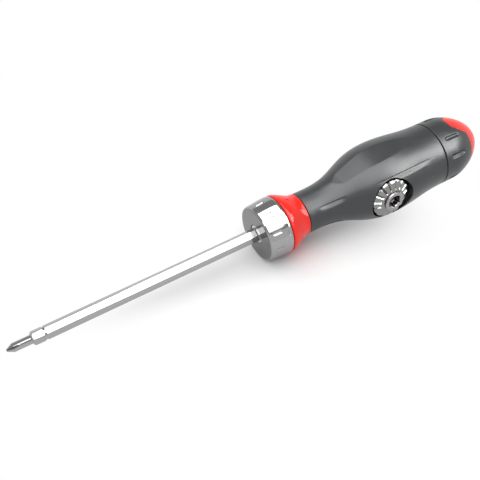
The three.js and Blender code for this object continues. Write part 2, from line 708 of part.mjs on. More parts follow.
function sideWheel() {
  const rim = WHEEL_BACK + WHEEL_RIM;
  const body = turned(
    [
      [WHEEL_BACK, WHEEL_BORE_R],
      [WHEEL_BACK, WHEEL_R],
      [rim, WHEEL_R],
      [WHEEL_TOP, HUB_FLANGE_R],
      [WHEEL_TOP, WHEEL_BORE_R],
    ],
    2 * WHEEL_FLUTES,
  );
  const slope = Math.atan2(WHEEL_TOP - rim, WHEEL_R - HUB_FLANGE_R);
  const length = Math.hypot(WHEEL_TOP - rim, WHEEL_R - HUB_FLANGE_R);
  const vee = new THREE.Shape([
    new THREE.Vector2(0, -FLUTE_CUT),
    new THREE.Vector2(FLUTE_MOUTH / 2, FIT),
    new THREE.Vector2(-FLUTE_MOUTH / 2, FIT),
  ]);
  const flutes = [];
  for (let i = 0; i < WHEEL_FLUTES; i += 1) {
    const along = new THREE.ExtrudeGeometry(vee, { depth: length + FLUTE_MOUTH, bevelEnabled: false });
    // local y is off the cone's face and local z runs down the cone, outwards from the hub
    along.translate(0, 0, FLUTE_START).rotateX(slope).rotateZ(-Math.PI / 2);
    flutes.push(along.translate(WHEEL_TOP, 0, HUB_FLANGE_R).rotateX(rad((360 * i) / WHEEL_FLUTES)));
  }
  const notches = [];
  for (let i = 0; i < CLICK_NOTCHES; i += 1) {
    const notch = disc(WHEEL_BACK - OVERRUN, CLICK_TIP + FIT, CLICK_PIN_R + FIT, NOTCH_FACETS);
    notches.push(notch.translate(0, 0, CLICK_PIN_AT).rotateX(rad((360 * i) / CLICK_NOTCHES)));
  }
  return cut(body, ...flutes, ...notches);
}

function sideHub() {
  const body = turned(
    [
      [HUB_INNER_END, 0],
      [HUB_INNER_END, HUB_R],
      [WHEEL_TOP + FIT, HUB_R],
      [WHEEL_TOP + FIT, HUB_FLANGE_R],
      [HUB_FACE, HUB_FLANGE_R],
      [HUB_FACE, 0],
    ],
    SMALL_FACETS,
  );
  const socket = prism(hexagon(SOCKET_AF), 0, REACH);
  return cut(body, socket, clipGroove(SIDE_CLIP_X, HUB_R), wireGroove(SIDE_WIRE_X));
}

function clickPin() {
  const r = CLICK_PIN_R;
  const outline = [
    [CLICK_PIN_X, 0],
    [CLICK_PIN_X, r],
    [CLICK_TIP - r / 2, r],
    [CLICK_TIP, r / 2],
    [CLICK_TIP, 0],
  ];
  return turned(outline, BALL_FACETS).translate(0, 0, CLICK_PIN_AT);
}

// Handle
function pocketCutter() {
  return crossways(disc(POCKET_FLOOR, REACH, POCKET_R));
}

function handleCore() {
  const outline = gripOutline(GRIP_WALL + FIT, HIDDEN_CURVE_STEPS).filter(([x]) => x < CORE_END);
  const rearR = WAIST_R - GRIP_WALL - FIT;
  const body = turned([
    [GRIP_X, SHANK_HOLE_R],
    ...outline,
    [CORE_END, rearR],
    [CORE_END, 0],
    [SHANK_END + FIT, 0],
    [SHANK_END + FIT, SHANK_HOLE_R],
  ]);
  const cavity = disc(SIDE_X - SIDE_BORE_R, CORE_END + OVERRUN, CAVITY_R);
  const hubBore = crossways(disc(HUB_INNER_END - FIT, REACH, SIDE_BORE_R));
  const pinBore = disc(CLICK_BORE_FLOOR, REACH, CLICK_PIN_R + FIT, BALL_FACETS);
  const pinBoreInPlace = crossways(pinBore.translate(0, 0, CLICK_PIN_AT));
  return cut(body, cavity, pocketCutter(), hubBore, pinBoreInPlace, ...dowelBores());
}

function grip() {
  const inner = gripOutline(GRIP_WALL, HIDDEN_CURVE_STEPS);
  const body = turned([...gripOutline(), ...inner.reverse()]);
  const floor = turned([[GRIP_X, 0], ...gripOutline(GROOVE_DEPTH), [GRIP_END, 0]]);
  const bars = [];
  for (const angle of GROOVE_ANGLES) {
    bars.push(roundBar(GRIP_X + NECK_GROOVE_FROM, NECK_GROOVE_LENGTH, GROOVE_WIDTH, 0, angle));
    bars.push(roundBar(GRIP_X + BELLY_GROOVE_FROM, BELLY_GROOVE_LENGTH, GROOVE_WIDTH, 0, angle));
  }
  return cut(recessed(body, floor, bars), pocketCutter());
}

// End cap
// The part of the cap's end that the insert covers, seen from above, grown by a gap
function insertRegion(gap) {
  const lobe = CAP_X + INSERT_LOBE - gap;
  const round = CAP_X + INSERT_DISC - gap;
  const side = [
    [lobe, INSERT_LOBE_HALF + gap],
    [lobe + INSERT_CORNER, INSERT_LOBE_HALF + INSERT_CORNER + gap],
    [(lobe + round) / 2, (INSERT_LOBE_HALF + INSERT_FLARE_HALF) / 2 + INSERT_BULGE + gap],
    [round, INSERT_FLARE_HALF + gap],
    [round, REACH],
  ];
  const other = side.map(([x, y]) => [x, -y]).reverse();
  const corners = [...side, [CAP_END + REACH, REACH], [CAP_END + REACH, -REACH], ...other];
  const shape = new THREE.Shape(corners.map(([x, y]) => new THREE.Vector2(x, y)));
  const options = { depth: 2 * REACH, bevelEnabled: false };
  return closed(new THREE.ExtrudeGeometry(shape, options).translate(0, 0, -REACH));
}

function capBody() {
  return turned(capOutline());
}

function endCap() {
  const skin = cut(turned(capOutline(-OVERRUN)), turned(capOutline(INSERT_THICKNESS + FIT)));
  const covered = common(skin, insertRegion(FIT));
  const recess = disc(CAP_X - OVERRUN, WEB_X, CARRIER_R + FIT);
  const screwHole = disc(CAP_X - OVERRUN, CAP_END + OVERRUN, SHOULDER_R + FIT, SMALL_FACETS);
  const hollow = disc(WEB_END, CAP_END + OVERRUN, CAP_HOLLOW_R);
  const grooveX = CAP_X + CAP_GROOVE_FROM;
  const grooveFloor = WAIST_R - CAP_GROOVE_DEPTH;
  const grooves = CAP_GROOVE_ANGLES.map((angle) =>
    roundBar(grooveX, CAP_GROOVE_LENGTH, CAP_GROOVE_WIDTH, grooveFloor, angle),
  );
  return cut(capBody(), ...grooves, covered, recess, screwHole, hollow);
}

function capInsert() {
  const skin = common(cut(capBody(), turned(capOutline(INSERT_THICKNESS))), insertRegion(0));
  const spigot = disc(SCREW_END + 2 * FIT, CAP_END, CAP_HOLLOW_R - FIT);
  return join(skin, common(spigot, turned(capOutline(INSERT_SKIN))));
}

function capCarrier() {
  const body = disc(CARRIER_X, CARRIER_END, CARRIER_R);
  return cut(body, disc(CARRIER_X - OVERRUN, CARRIER_END + OVERRUN, SCREW_R + FIT, SMALL_FACETS));
}

function capScrew() {
  const body = turned(
    [
      [CARRIER_X, 0],
      [CARRIER_X, SCREW_R],
      [WASHER_X, SCREW_R],
      [WASHER_X, SHOULDER_R],
      [SCREW_HEAD_X, SHOULDER_R],
      [SCREW_HEAD_X, SCREW_HEAD_R],
      [SCREW_END, SCREW_HEAD_R],
      [SCREW_END, 0],
    ],
    SMALL_FACETS,
  );
  return cut(body, prism(hexagon(SCREW_RECESS_AF), SCREW_END - SCREW_RECESS, SCREW_END + OVERRUN));
}

// Small pieces
function wireRing(x) {
  return openRing(x, x + WIRE_LENGTH, WIRE_R, WIRE_R + WIRE, CLIP_GAP);
}

function pawlPin() {
  return disc(HEAD_X + FIT, PIN_END, PAWL_PIN_R, SMALL_FACETS).translate(0, 0, PAWL_PIVOT_R);
}

function leafSpring() {
  const half = LEAF_WIDTH / 2;
  const outer = LEAF_R + LEAF_THICKNESS;
  return arcStrip(PAWL_MIDDLE - half, PAWL_MIDDLE + half, LEAF_R, outer, LEAF_HALF_ANGLE);
}

function snapRing() {
  const x = SNAP_X + (SNAP_GROOVE - SNAP_WIDTH) / 2;
  const inner = HEAD_R - SNAP_DEPTH + FIT;
  const outer = SELECTOR_BORE_R + SNAP_DEPTH - FIT;
  return openRing(x, x + SNAP_WIDTH, inner, outer, CLIP_GAP);
}

function housingDowel(angle) {
  const outer = NECK_R - GRIP_WALL - 2 * FIT;
  return radial(disc(SHANK_BORE_R + FIT, outer, DOWEL_R, SMALL_FACETS), DOWEL_X, angle);
}

function bladeStop() {
  return disc(BLADE_LENGTH + FIT, SHANK_END - FIT, SHANK_BORE_R - FIT, SMALL_FACETS);
}

function bush(x0, x1, bore) {
  return tube(x0, x1, bore, bore + BUSH_WALL, SMALL_FACETS);
}

function washer(x) {
  return tube(x, x + WASHER, SHOULDER_R + FIT, WASHER_R, SMALL_FACETS);
}

// The two coil springs have the length that they have when the ball or the pin is pressed home
function detentSpring() {
  return coilSpring(DETENT_FLOOR_R + FIT, DETENT_BALL_AT - DETENT_BALL_R - DETENT_TRAVEL - FIT);
}

function clickSpring() {
  const spring = coilSpring(CLICK_BORE_FLOOR + FIT, CLICK_PIN_X - CLICK_TRAVEL - FIT);
  return spring.translate(0, 0, CLICK_PIN_AT);
}

// Materials
function finish(color, roughness, metalness) {
  return new THREE.MeshStandardMaterial({ color, roughness, metalness, flatShading: true });
}

const chrome = () => finish(0xd8dadc, 0.12, 1);
const steel = () => finish(0xaeb1b4, 0.3, 1);
const darkSteel = () => finish(0x5b5f63, 0.4, 1);
const bronze = () => finish(0xa9793f, 0.4, 1);
const greyPlastic = () => finish(0x464b4f, 0.42, 0);
const darkPlastic = () => finish(0x2b2e30, 0.5, 0);
const redPlastic = () => finish(0xe62a22, 0.25, 0);

// The assembly
const along = new THREE.Group();
const crosswise = new THREE.Group();
const downwards = new THREE.Group();
const upwards = new THREE.Group();
crosswise.position.set(SIDE_X, 0, 0);
crosswise.rotation.z = -Math.PI / 2;
downwards.position.set(DETENT_X, 0, 0);
downwards.rotation.y = Math.PI / 2;
upwards.position.set(PAWL_MIDDLE, 0, 0);
upwards.rotation.y = -Math.PI / 2;
along.add(crosswise, downwards, upwards);

function place(group, name, geometry, material) {
  const mesh = new THREE.Mesh(closed(geometry), material);
  mesh.geometry.computeVertexNormals();
  mesh.name = name;
  group.add(mesh);
}

place(along, "blade", blade(), steel());
place(along, "spindle", spindle(), steel());
place(along, "blade_retaining_ring", wireRing(WIRE_X), steel());
place(along, "spindle_circlip", circlip(CLIP_X, JOURNAL_R), darkSteel());
place(along, "front_bush", tube(HEAD_X, CHAMBER_X, NOSE_HOLE_R, CHAMBER_R - FIT, SMALL_FACETS), bronze());
place(along, "rear_bush", bush(BUSH_X, BUSH_END, BUSH_BORE_R), bronze());
place(along, "blade_stop", bladeStop(), darkSteel());
place(along, "ratchet_housing", housing(), darkSteel());
place(along, "rocking_pawl", rockingPawl(), darkSteel());
place(along, "pawl_pin", pawlPin(), steel());
place(upwards, "pawl_ball", ball(PAWL_BALL_AT, PAWL_BALL_R), steel());
place(along, "pawl_leaf_spring", leafSpring(), steel());
place(along, "selector_ring", selectorRing(), chrome());
place(along, "selector_snap_ring", snapRing(), steel());
place(downwards, "detent_ball", ball(DETENT_BALL_AT, DETENT_BALL_R), steel());
place(downwards, "detent_spring", detentSpring(), steel());
place(along, "index_ring", indexRing(), redPlastic());
place(along, "housing_dowel_left", housingDowel(LEFT), steel());
place(along, "housing_dowel_right", housingDowel(RIGHT), steel());
place(along, "handle_core", handleCore(), darkPlastic());
place(along, "grip", grip(), greyPlastic());
place(crosswise, "side_wheel", sideWheel(), chrome());
place(crosswise, "side_hub", sideHub(), steel());
place(crosswise, "side_bush", bush(SIDE_BUSH_X, POCKET_FLOOR, SIDE_BUSH_BORE_R), bronze());
place(crosswise, "side_circlip", circlip(SIDE_CLIP_X, HUB_R), darkSteel());
place(crosswise, "side_retaining_ring", wireRing(SIDE_WIRE_X), steel());
place(crosswise, "click_pin", clickPin(), darkSteel());
place(crosswise, "click_spring", clickSpring(), steel());
place(along, "cap_carrier", capCarrier(), darkPlastic());
place(along, "cap_washer", washer(WASHER_X), darkPlastic());
place(along, "end_cap", endCap(), greyPlastic());
place(along, "cap_spring_washer", washer(SPRING_WASHER_X), steel());
place(along, "cap_screw", capScrew(), darkSteel());
place(along, "cap_insert", capInsert(), redPlastic());

// The tool lies on a surface: origin under its middle, belly's lowest flat at height zero
const tool = new THREE.Group();
along.position.set(-CAP_END / 2, 0, BELLY_R * Math.cos(Math.PI / FACETS));
tool.add(along);

export default tool;
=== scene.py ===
"""Looks of a ratcheting screwdriver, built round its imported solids.

Pieces are drawn in millimetres in the tool's own terms: the distance along the axis from the blade's tip,
the radius, and the angle round the axis from the top towards the finger wheel. They are placed in metres.
"""
import math

import bpy
import numpy as np
from mathutils import Matrix, Vector


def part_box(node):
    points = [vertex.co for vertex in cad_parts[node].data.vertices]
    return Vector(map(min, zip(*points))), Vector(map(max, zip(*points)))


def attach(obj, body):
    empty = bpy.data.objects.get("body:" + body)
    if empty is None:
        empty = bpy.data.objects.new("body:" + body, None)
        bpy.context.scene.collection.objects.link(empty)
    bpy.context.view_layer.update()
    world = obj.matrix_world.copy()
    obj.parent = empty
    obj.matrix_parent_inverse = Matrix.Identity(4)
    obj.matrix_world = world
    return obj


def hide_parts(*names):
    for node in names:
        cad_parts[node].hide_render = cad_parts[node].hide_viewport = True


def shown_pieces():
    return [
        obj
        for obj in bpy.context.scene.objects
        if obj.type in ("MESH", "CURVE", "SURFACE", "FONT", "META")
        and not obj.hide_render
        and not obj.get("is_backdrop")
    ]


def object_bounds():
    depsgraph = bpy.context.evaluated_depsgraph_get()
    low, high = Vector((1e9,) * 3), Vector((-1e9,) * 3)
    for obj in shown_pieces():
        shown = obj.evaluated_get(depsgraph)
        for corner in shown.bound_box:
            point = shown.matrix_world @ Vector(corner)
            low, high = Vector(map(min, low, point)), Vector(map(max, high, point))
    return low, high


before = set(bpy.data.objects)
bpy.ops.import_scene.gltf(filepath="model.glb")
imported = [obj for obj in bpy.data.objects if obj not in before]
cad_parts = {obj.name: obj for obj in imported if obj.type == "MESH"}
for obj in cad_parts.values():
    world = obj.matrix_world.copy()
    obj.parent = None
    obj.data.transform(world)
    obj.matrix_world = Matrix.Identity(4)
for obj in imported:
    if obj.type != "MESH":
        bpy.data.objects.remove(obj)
CAD_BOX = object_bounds()

MM = 0.001
FULL_TURN = 2 * math.pi
SEAT_CLEAR = 0.1  # round the solids that sit in hollows of the new pieces
SHARP = math.radians(32)
TROUGH_SIDE = 0.85  # share of a slot's half width that its sides take
COARSE = 2  # degrees between columns where nothing is carved
FINE = 1.5
TINY = 1e-6

# Places that the solids give
TIP_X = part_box("blade")[0].x
AXIS_Z = (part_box("blade")[0].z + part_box("blade")[1].z) / 2
WHEEL_X = (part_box("side_wheel")[0].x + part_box("side_wheel")[1].x) / 2


def station(x):
    """Distance from the blade's tip, in millimetres, of a place in the frame."""
    return (x - TIP_X) / MM


BLADE_LENGTH = station(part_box("blade")[1].x)
SELECTOR_FROM = station(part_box("selector_ring")[0].x)
SELECTOR_TO = station(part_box("selector_ring")[1].x)
RING_FROM = station(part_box("index_ring")[0].x)
RING_TO = station(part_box("index_ring")[1].x)
GRIP_FROM = station(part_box("grip")[0].x)
GRIP_TO = station(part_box("grip")[1].x)
CAP_FROM = station(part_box("end_cap")[0].x)
CAP_TO = station(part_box("cap_insert")[1].x)
WHEEL_BACK = -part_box("side_wheel")[1].y / MM
WHEEL_TOP = -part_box("side_wheel")[0].y / MM
HUB_INNER = -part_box("side_hub")[1].y / MM
HUB_FACE = -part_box("side_hub")[0].y / MM

# Blade, in millimetres
HEX_AF = 6.35
HEX_EDGE_R = 3.61  # the bar's corners are lightly turned off
TIP_NECK = 12.3
TIP_R = 2.25
POINT_R = 0.6
POINT_LENGTH = 3.2
HEX_CHAMFER = 0.9
NOTCH_AT = 18.8
NOTCH_HALF = 0.45
NOTCH_MOUTH = 1.4  # times the half width
NOTCH_R = 3.25
FLUTE_LENGTH = 7.5
FLUTE_CORE_R = 0.35
FLUTE_RUN_OUT = 1
FLUTE_SPREAD = 0.62  # tangent of the flute's half angle
FLUTE_LEAST = 1e-3
TIP_FLUTES = (45, 135, 225, 315)
POINT_STEP = 0.2
FLUTE_STEP = 0.3
POINT_ROUND = 0.5  # share of the point's radius at its very end
NECK_FILLET = ((-1.2, 0), (-0.35, 0), (-0.12, 0.06), (0, 0.3))  # along and out from the neck's end
CHAMFER_STEPS = 6
BAR_ROWS = (2, 12, 30)  # behind the notch
HEX_OFFSETS = (0, 2.5, 5, 7.5, 10, 12, 16, 23, 30, 37, 44, 48, 50, 52.5, 55, 57.5)  # degrees from a corner

# Selector ring
NOSE_HOLE_R = 5.1
SELECTOR_BORE_R = 12.8
SELECTOR_FLANGE = 1.8
NOSE_CHAMFER = 0.2
FACE_R = 13.5
FACE_ROWS = (7, 9, 11, FACE_R - 0.6)
FACE_EASE = 0.75
EDGE_R = 14.9
EDGE_LENGTH = 1.7
EDGE_EASE = 0.5
EDGE_DROP = 0.1
EDGE_STEPS = 8
BARREL_R = 15.66
BARREL_CROWN = 1.8  # before the rear edge
BARREL_RISE = 0.08
BARREL_EASE = 3.6
CROWN_DROP = 0.02
BARREL_STEPS = 44
REAR_R = 15.36
REAR_EASE = 0.8
REAR_RISE = 0.2
REAR_TURN = 0.3
REAR_DROP = 0.25
REAR_STEPS = 10
DIMPLES = 10
BARS_ANGLE = 20.5
BARS_SPREAD = 5
DIMPLE_MIDDLE = 5.4
DIMPLE_LENGTH = 5.4
DIMPLE_WIDTH = 2.0
DIMPLE_DEPTH = 0.42
DIMPLE_SPAN = 5  # degrees of fine columns to each side
BAR_LENGTH = 3.6
BAR_WIDTH = 0.9
BAR_DEPTH = 0.5
BAR_SPAN = 2.5
RIM_MARKS = ((65, 3.4), (93, 1.8))  # places and lengths of the slots by the rear rim
RIM_MARK_FROM_REAR = 2.0
RIM_MARK_WIDTH = 0.8
RIM_MARK_DEPTH = 0.4
RIM_MARK_SPAN = 8
CARVED_STEP = 0.5  # degrees
KEEN_STEP = 0.25
FACE_SHADE = 0.5
SHADE_FROM = 0.05  # behind the front face
SHADE_TO = 0.35
SELECTOR_HOLDS = ("selector_snap_ring", "detent_ball", "pawl_ball pawl_leaf_spring")  # from the rear

# Index ring
RING_FRONT_R = 15.6
RING_REAR_R = 11.35
RING_FRONT_EDGE = 0.6
RING_REAR_EDGE = 0.5
RING_FRONT_EASE = 4.4
RING_FRONT_DROP = 0.5
RING_REAR_EASE = 4.25
RING_REAR_RISE = 0.1
FLARE_TURN = 80  # degrees round the front edge where the flare starts
FLARE_STEPS = 56
SHANK_HOLE_R = 8.5
POINTER_AT = 5.0  # behind the ring's front
POINTER_LENGTH = 2.6
POINTER_WIDTH = 2.0
POINTER_DEPTH = 0.4
POINTER_SIDE = 0.2
POINTER_SPAN = 4

# Grip
NECK_R = 11.05
BELLY_R = 20.3
WAIST_R = 17.57
NECK_LENGTH = 7.2
SWELL_LENGTH = 43
SWELL_EASE = 20.4
BELLY_EASE = 12.4
WAIST_EASE = 13.5
SWELL_STEPS = 80
TAPER_STEPS = 60
GRIP_WALL = 1.0
GRIP_FRONT_EDGE = 0.3
GRIP_REAR_EDGE = 0.7
GRIP_ROW_STEP = 0.8
GRIP_EDGE_STEP = 0.08
GRIP_FRONT_RUN = 0.4  # stretch of fine rows at each end
GRIP_REAR_RUN = 0.8
GRIP_INNER_ROWS = 30
POCKET_FLOOR = 12.5
POCKET_REACH = 40
POCKET_COLUMNS = 128
PANEL_ANGLE = 5
PANEL_HALF = 17.5  # degrees to each crease
PANEL_FROM = 20.0  # behind the grip's front
PANEL_RAMP = 4
PANEL_FADE_FROM = 44
PANEL_FADE_TO = 76
PANEL_LEAST_COS = 0.2
PANEL_LEAD = 1  # stretch of fine rows before and past the panel's front
PANEL_PAST = 5
PANEL_STEP = 0.3
CREASE_SPAN = 3
CREASE_STEP = 0.4
GROOVE_ANGLES = (50, 130, 230, 310)
STEEP_BEFORE = (50, 230)  # grooves whose steep wall is on the side of the smaller angle
NECK_GROOVE = (7.0, 22.0)
BELLY_GROOVE = (38.0, 73.0)
GROOVE_DEPTH = 0.7
GROOVE_STEP = 0.4  # run of the steep wall
GROOVE_BANK = 2.8  # run of the gentle bank
GROOVE_TAPER = 0.8
GROOVE_SPANS = ((14, 0.7), (3, 0.3))  # degrees to each side, and step

# End cap
CAP_STRAIGHT = 6.7
CAP_SHOULDER = 10
CAP_CROWN = 9
DOME_STEPS = 160
CAP_FRONT_EDGE = 0.3
CAP_WALL = 2.4
CAP_EDGE_RUN = 0.45
CAP_EDGE_ROWS = 6
CAP_ROWS = 64
CAP_LEDGE = 0.5  # behind the insert's border
CAP_HOLLOW = 8
CAP_WEB = 6
CAP_BORE_R = 9
CAP_GROOVE_ANGLES = (31, 65, 115, 149, 211, 245, 295, 329)
CAP_GROOVE_FROM = 2.8
CAP_GROOVE_LENGTH = 10
CAP_GROOVE_WIDTH = 3.0
CAP_GROOVE_DEPTH = 0.85
CAP_GROOVE_SPAN = 6
LOBE_FROM = 10.9
LOBE_HALF_ANGLE = 17
LOBE_ROUND = 0.3  # share of the lobe taken by its round end
INSERT_FROM = 19.0
LOBE_EASE = 21  # degrees over which a lobe flares into the round
LOBES = (0, 180)
LOBE_SPAN = 36
LOBE_STEP = 0.75
INSERT_GAP = 0.12
INSERT_LIP = 0.5
INSERT_EDGE = 0.12
INSERT_SHARES = np.concatenate([[0.01, 0.02], np.linspace(0.04, 0.995, 48)])

# Finger wheel and its hub
WHEEL_R = (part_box("side_wheel")[1].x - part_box("side_wheel")[0].x) / 2 / MM
WHEEL_GAP = 0.75
WHEEL_SHOULDER = 3.0  # below the wheel's top, where its rim starts to round over
WHEEL_SHOULDER_EASE = 1.7
WHEEL_CROWN_DROP = 0.7
WHEEL_CROWN_R = 9.2
WHEEL_STEPS = 34
WHEEL_BACK_EDGE = 0.3
WHEEL_BORE_R = 5.7
WHEEL_FLUTES = 16
FLUTE_HALF_MOUTH = 0.95
FLUTE_CUT = 0.85
FLUTE_FADE = 1.6
FLUTE_FADE_FROM = 0.4  # out from the hub's flange
FLUTE_MOUTH_LEAST = 0.4  # share of the mouth that is left at the middle
FLUTE_COLUMNS = 24
SOCKET_AF = 6.65
HUB_FLANGE = 1
HUB_FLANGE_R = 5.7
HUB_R = 5.4
HUB_EDGE = 0.25
HUB_BACK_EDGE = 0.1
EDGE_BULGE = 0.3  # share of an edge at its middle
HUB_FACE_ROW_R = 4.6
HUB_COUNTERSINK = 0.45


# Lofts
def axial(along, radius, angle):
    """Places round the tool's axis."""
    x = TIP_X + along * MM
    y = -radius * np.sin(angle) * MM
    z = AXIS_Z + radius * np.cos(angle) * MM
    return np.stack([x + 0 * y, y, z], axis=-1)


def sideways(along, radius, angle):
    """Places round the finger wheel's axis, with along as the distance from the tool's axis."""
    x = WHEEL_X + radius * np.sin(angle) * MM
    y = -along * MM
    z = AXIS_Z + radius * np.cos(angle) * MM
    return np.stack([x, y + 0 * x, z], axis=-1)


def seat(node, place):
    """The ring of space that a CAD solid takes round an axis: from, to, inner and outer radius."""
    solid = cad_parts[node]
    points = np.array([solid.matrix_world @ vertex.co for vertex in solid.data.vertices]) / MM
    off = points[:, 2] - AXIS_Z / MM
    if place is axial:
        along = points[:, 0] - TIP_X / MM
        radius = np.hypot(points[:, 1], off)
    else:
        along = -points[:, 1]
        radius = np.hypot(points[:, 0] - WHEEL_X / MM, off)
    inner, outer = radius.min() - SEAT_CLEAR, radius.max() + SEAT_CLEAR
    return along.min() - SEAT_CLEAR, along.max() + SEAT_CLEAR, inner, outer


def loft(name, rows, angles, place=axial, ring=True):
    """A closed mesh through rows of (along, radius), each a number or one value for each angle.

    With ring the last row joins the first. Without it a flat face closes each end.
    """
    count = len(angles)
    points = []
    for along, radius in rows:
        along = np.broadcast_to(np.asarray(along, float), count)
        radius = np.broadcast_to(np.asarray(radius, float), count)
        points.append(place(along, radius, angles))
    steps = len(rows) if ring else len(rows) - 1
    column = np.arange(count)
    following = (column + 1) % count
    quads = []
    for row in range(steps):
        here = row * count
        there = ((row + 1) % len(rows)) * count
        quads.append(np.stack([here + column, here + following, there + following, there + column], axis=1))
    faces = [tuple(map(int, quad)) for quad in np.concatenate(quads)]
    if not ring:
        last = (len(rows) - 1) * count
        faces += [tuple(reversed(range(count))), tuple(range(last, last + count))]
    mesh = bpy.data.meshes.new(name)
    mesh.from_pydata(np.concatenate(points).tolist(), [], faces)
    return finish_mesh(name, mesh)


def signed_volume(mesh):
    """Six times a closed mesh's volume, below nothing where its faces point inwards."""
    mesh.calc_loop_triangles()
    corners = np.zeros(len(mesh.vertices) * 3)
    mesh.vertices.foreach_get("co", corners)
    corners = corners.reshape(-1, 3)
    index = np.zeros(len(mesh.loop_triangles) * 3, int)
    mesh.loop_triangles.foreach_get("vertices", index)
    a, b, c = (corners[index[k::3]] for k in range(3))
    return float(np.einsum("ij,ij->i", a, np.cross(b, c)).sum())


def finish_mesh(name, mesh):
    """Makes a piece of a mesh, with its faces outwards and its sharp edges kept."""
    mesh.update()
    if signed_volume(mesh) < 0:
        mesh.flip_normals()
    mesh.shade_smooth()
    mesh.set_sharp_from_angle(angle=SHARP)
    piece = bpy.data.objects.new(name, mesh)
    bpy.context.scene.collection.objects.link(piece)
    return piece


def carved(piece, *cutters):
    """Cuts closed meshes out of a piece and removes them."""
    for cutter in cutters:
        cut = piece.modifiers.new("cut", "BOOLEAN")
        cut.operation = "DIFFERENCE"
        cut.solver = "EXACT"
        cut.object = cutter
    graph = bpy.context.evaluated_depsgraph_get()
    mesh = bpy.data.meshes.new_from_object(piece.evaluated_get(graph))
    piece.modifiers.clear()
    old = piece.data
    piece.data = mesh
    mesh.name = piece.name
    bpy.data.meshes.remove(old)
    for cutter in cutters:
        bpy.data.objects.remove(cutter)
    mesh.set_sharp_from_angle(angle=SHARP)
    return piece


# Outlines
def bezier(a, b, c, d, steps):
    """Points along a cubic curve, as an array of (along, radius)."""
    t = np.linspace(0, 1, steps + 1)[:, None]
    a, b, c, d = (np.array(p, float) for p in (a, b, c, d))
    return (1 - t) ** 3 * a + 3 * (1 - t) ** 2 * t * b + 3 * (1 - t) * t**2 * c + t**3 * d


def corner(centre, radius, start, end, steps=5):
    """Points round a rounded corner, with angles in degrees from the way along the axis."""
    a = np.radians(np.linspace(start, end, steps + 1))
    return np.stack([centre[0] + radius * np.cos(a), centre[1] + radius * np.sin(a)], axis=1)


def smooth(t):
    """Eases from 0 to 1."""
    t = np.clip(t, 0, 1)
    return t * t * (3 - 2 * t)


def columns(coarse, *spans):
    """Angles round a full turn in radians, with fine steps in the spans of (from, to, step) in degrees."""
    angles = [0.0]
    while angles[-1] < 360:
        here = angles[-1]
        steps = [step for start, end, step in spans if (here - start) % 360 < (end - start)]
        ahead = [(start - here) % 360 for start, end, step in spans if (start - here) % 360 > TINY]
        step = min(steps) if steps else min([coarse] + ahead)
        angles.append(here + step)
    return np.radians(angles[:-1])


def near(centre, half, step):
    """A span of fine columns round a place in degrees."""
    start = (centre - half) % 360
    return start, start + 2 * half, step


def stepped(*stretches):
    """Places along a line, with a step for each stretch of (from, to, step)."""
    places = []
    for start, end, step in stretches:
        count = max(1, round((end - start) / step))
        places.extend(np.linspace(start, end, count, endpoint=False))
    places.append(stretches[-1][1])
    return np.array(places)


def turn_from(angles, centre):
    """Signed angle in radians from a place in degrees."""
    return (angles - math.radians(centre) + math.pi) % FULL_TURN - math.pi


def bathtub(along, across, length, width):
    """One inside a round-ended slot and falling to nothing at its rim."""
    reach = np.maximum(np.abs(along) - (length - width) / 2, 0)
    distance = np.hypot(reach, across)
    return smooth((width / 2 - distance) / (TROUGH_SIDE * width / 2))


def hex_radius(angles, across_flats):
    """Radius of a hexagon with a corner at the top."""
    off = angles % (math.pi / 3) - math.pi / 6
    return across_flats / 2 / np.cos(off)


# Materials
NOISE_RANGE = (0.3, 0.7)
TINT_RANGE = (0.35, 0.65)
CLOUDS = (90, 3)  # scale of a noise in cycles for each metre, and its detail
SHEEN = (260, 4)
GRAIN = (3200, 2)
LINES = (1500, 3)
PLASTIC_TINT = 0.07  # lighter and darker than the colour
METAL_TINT = 0.05
PLASTIC_GLOSS = (-0.03, 0.04)  # added to the roughness
METAL_GLOSS = (0.75, 1.3)  # times the roughness
EVEN = (1, 1, 1)  # stretch of a noise
LENGTHWISE = (0.01, 1, 1)
ROUND = (1, 0.08, 0.08)


def shader(name, colour, metallic, roughness):
    """A new material, with its nodes, links and surface."""
    material = bpy.data.materials.new("look_" + name)
    material.use_nodes = True
    nodes = material.node_tree.nodes
    surface = nodes["Principled BSDF"]
    surface.inputs["Base Color"].default_value = (*colour, 1)
    surface.inputs["Metallic"].default_value = metallic
    surface.inputs["Roughness"].default_value = roughness
    return material, nodes, material.node_tree.links, surface


def noise(nodes, links, scale, detail, stretch=EVEN):
    """Noise in the piece's own space."""
    place = nodes.new("ShaderNodeTexCoord")
    mapping = nodes.new("ShaderNodeMapping")
    mapping.inputs["Scale"].default_value = stretch
    texture = nodes.new("ShaderNodeTexNoise")
    texture.inputs["Scale"].default_value = scale
    texture.inputs["Detail"].default_value = detail
    links.new(place.outputs["Object"], mapping.inputs["Vector"])
    links.new(mapping.outputs["Vector"], texture.inputs["Vector"])
    return texture.outputs["Fac"]


def ranged(nodes, links, value, low, high):
    """Maps the middle of a noise to a range of numbers."""
    spread = nodes.new("ShaderNodeMapRange")
    spread.inputs["From Min"].default_value = NOISE_RANGE[0]
    spread.inputs["From Max"].default_value = NOISE_RANGE[1]
    spread.inputs["To Min"].default_value = low
    spread.inputs["To Max"].default_value = high
    links.new(value, spread.inputs["Value"])
    return spread.outputs["Result"]


def tinted(nodes, links, surface, value, colour, tint):
    """Varies a surface's colour a little to each side by a noise."""
    ramp = nodes.new("ShaderNodeValToRGB")
    for element, place, factor in zip(ramp.color_ramp.elements, TINT_RANGE, (1 - tint, 1 + tint)):
        element.position = place
        element.color = (*[min(1.0, part * factor) for part in colour], 1)
    links.new(value, ramp.inputs["Fac"])
    links.new(ramp.outputs["Color"], surface.inputs["Base Color"])


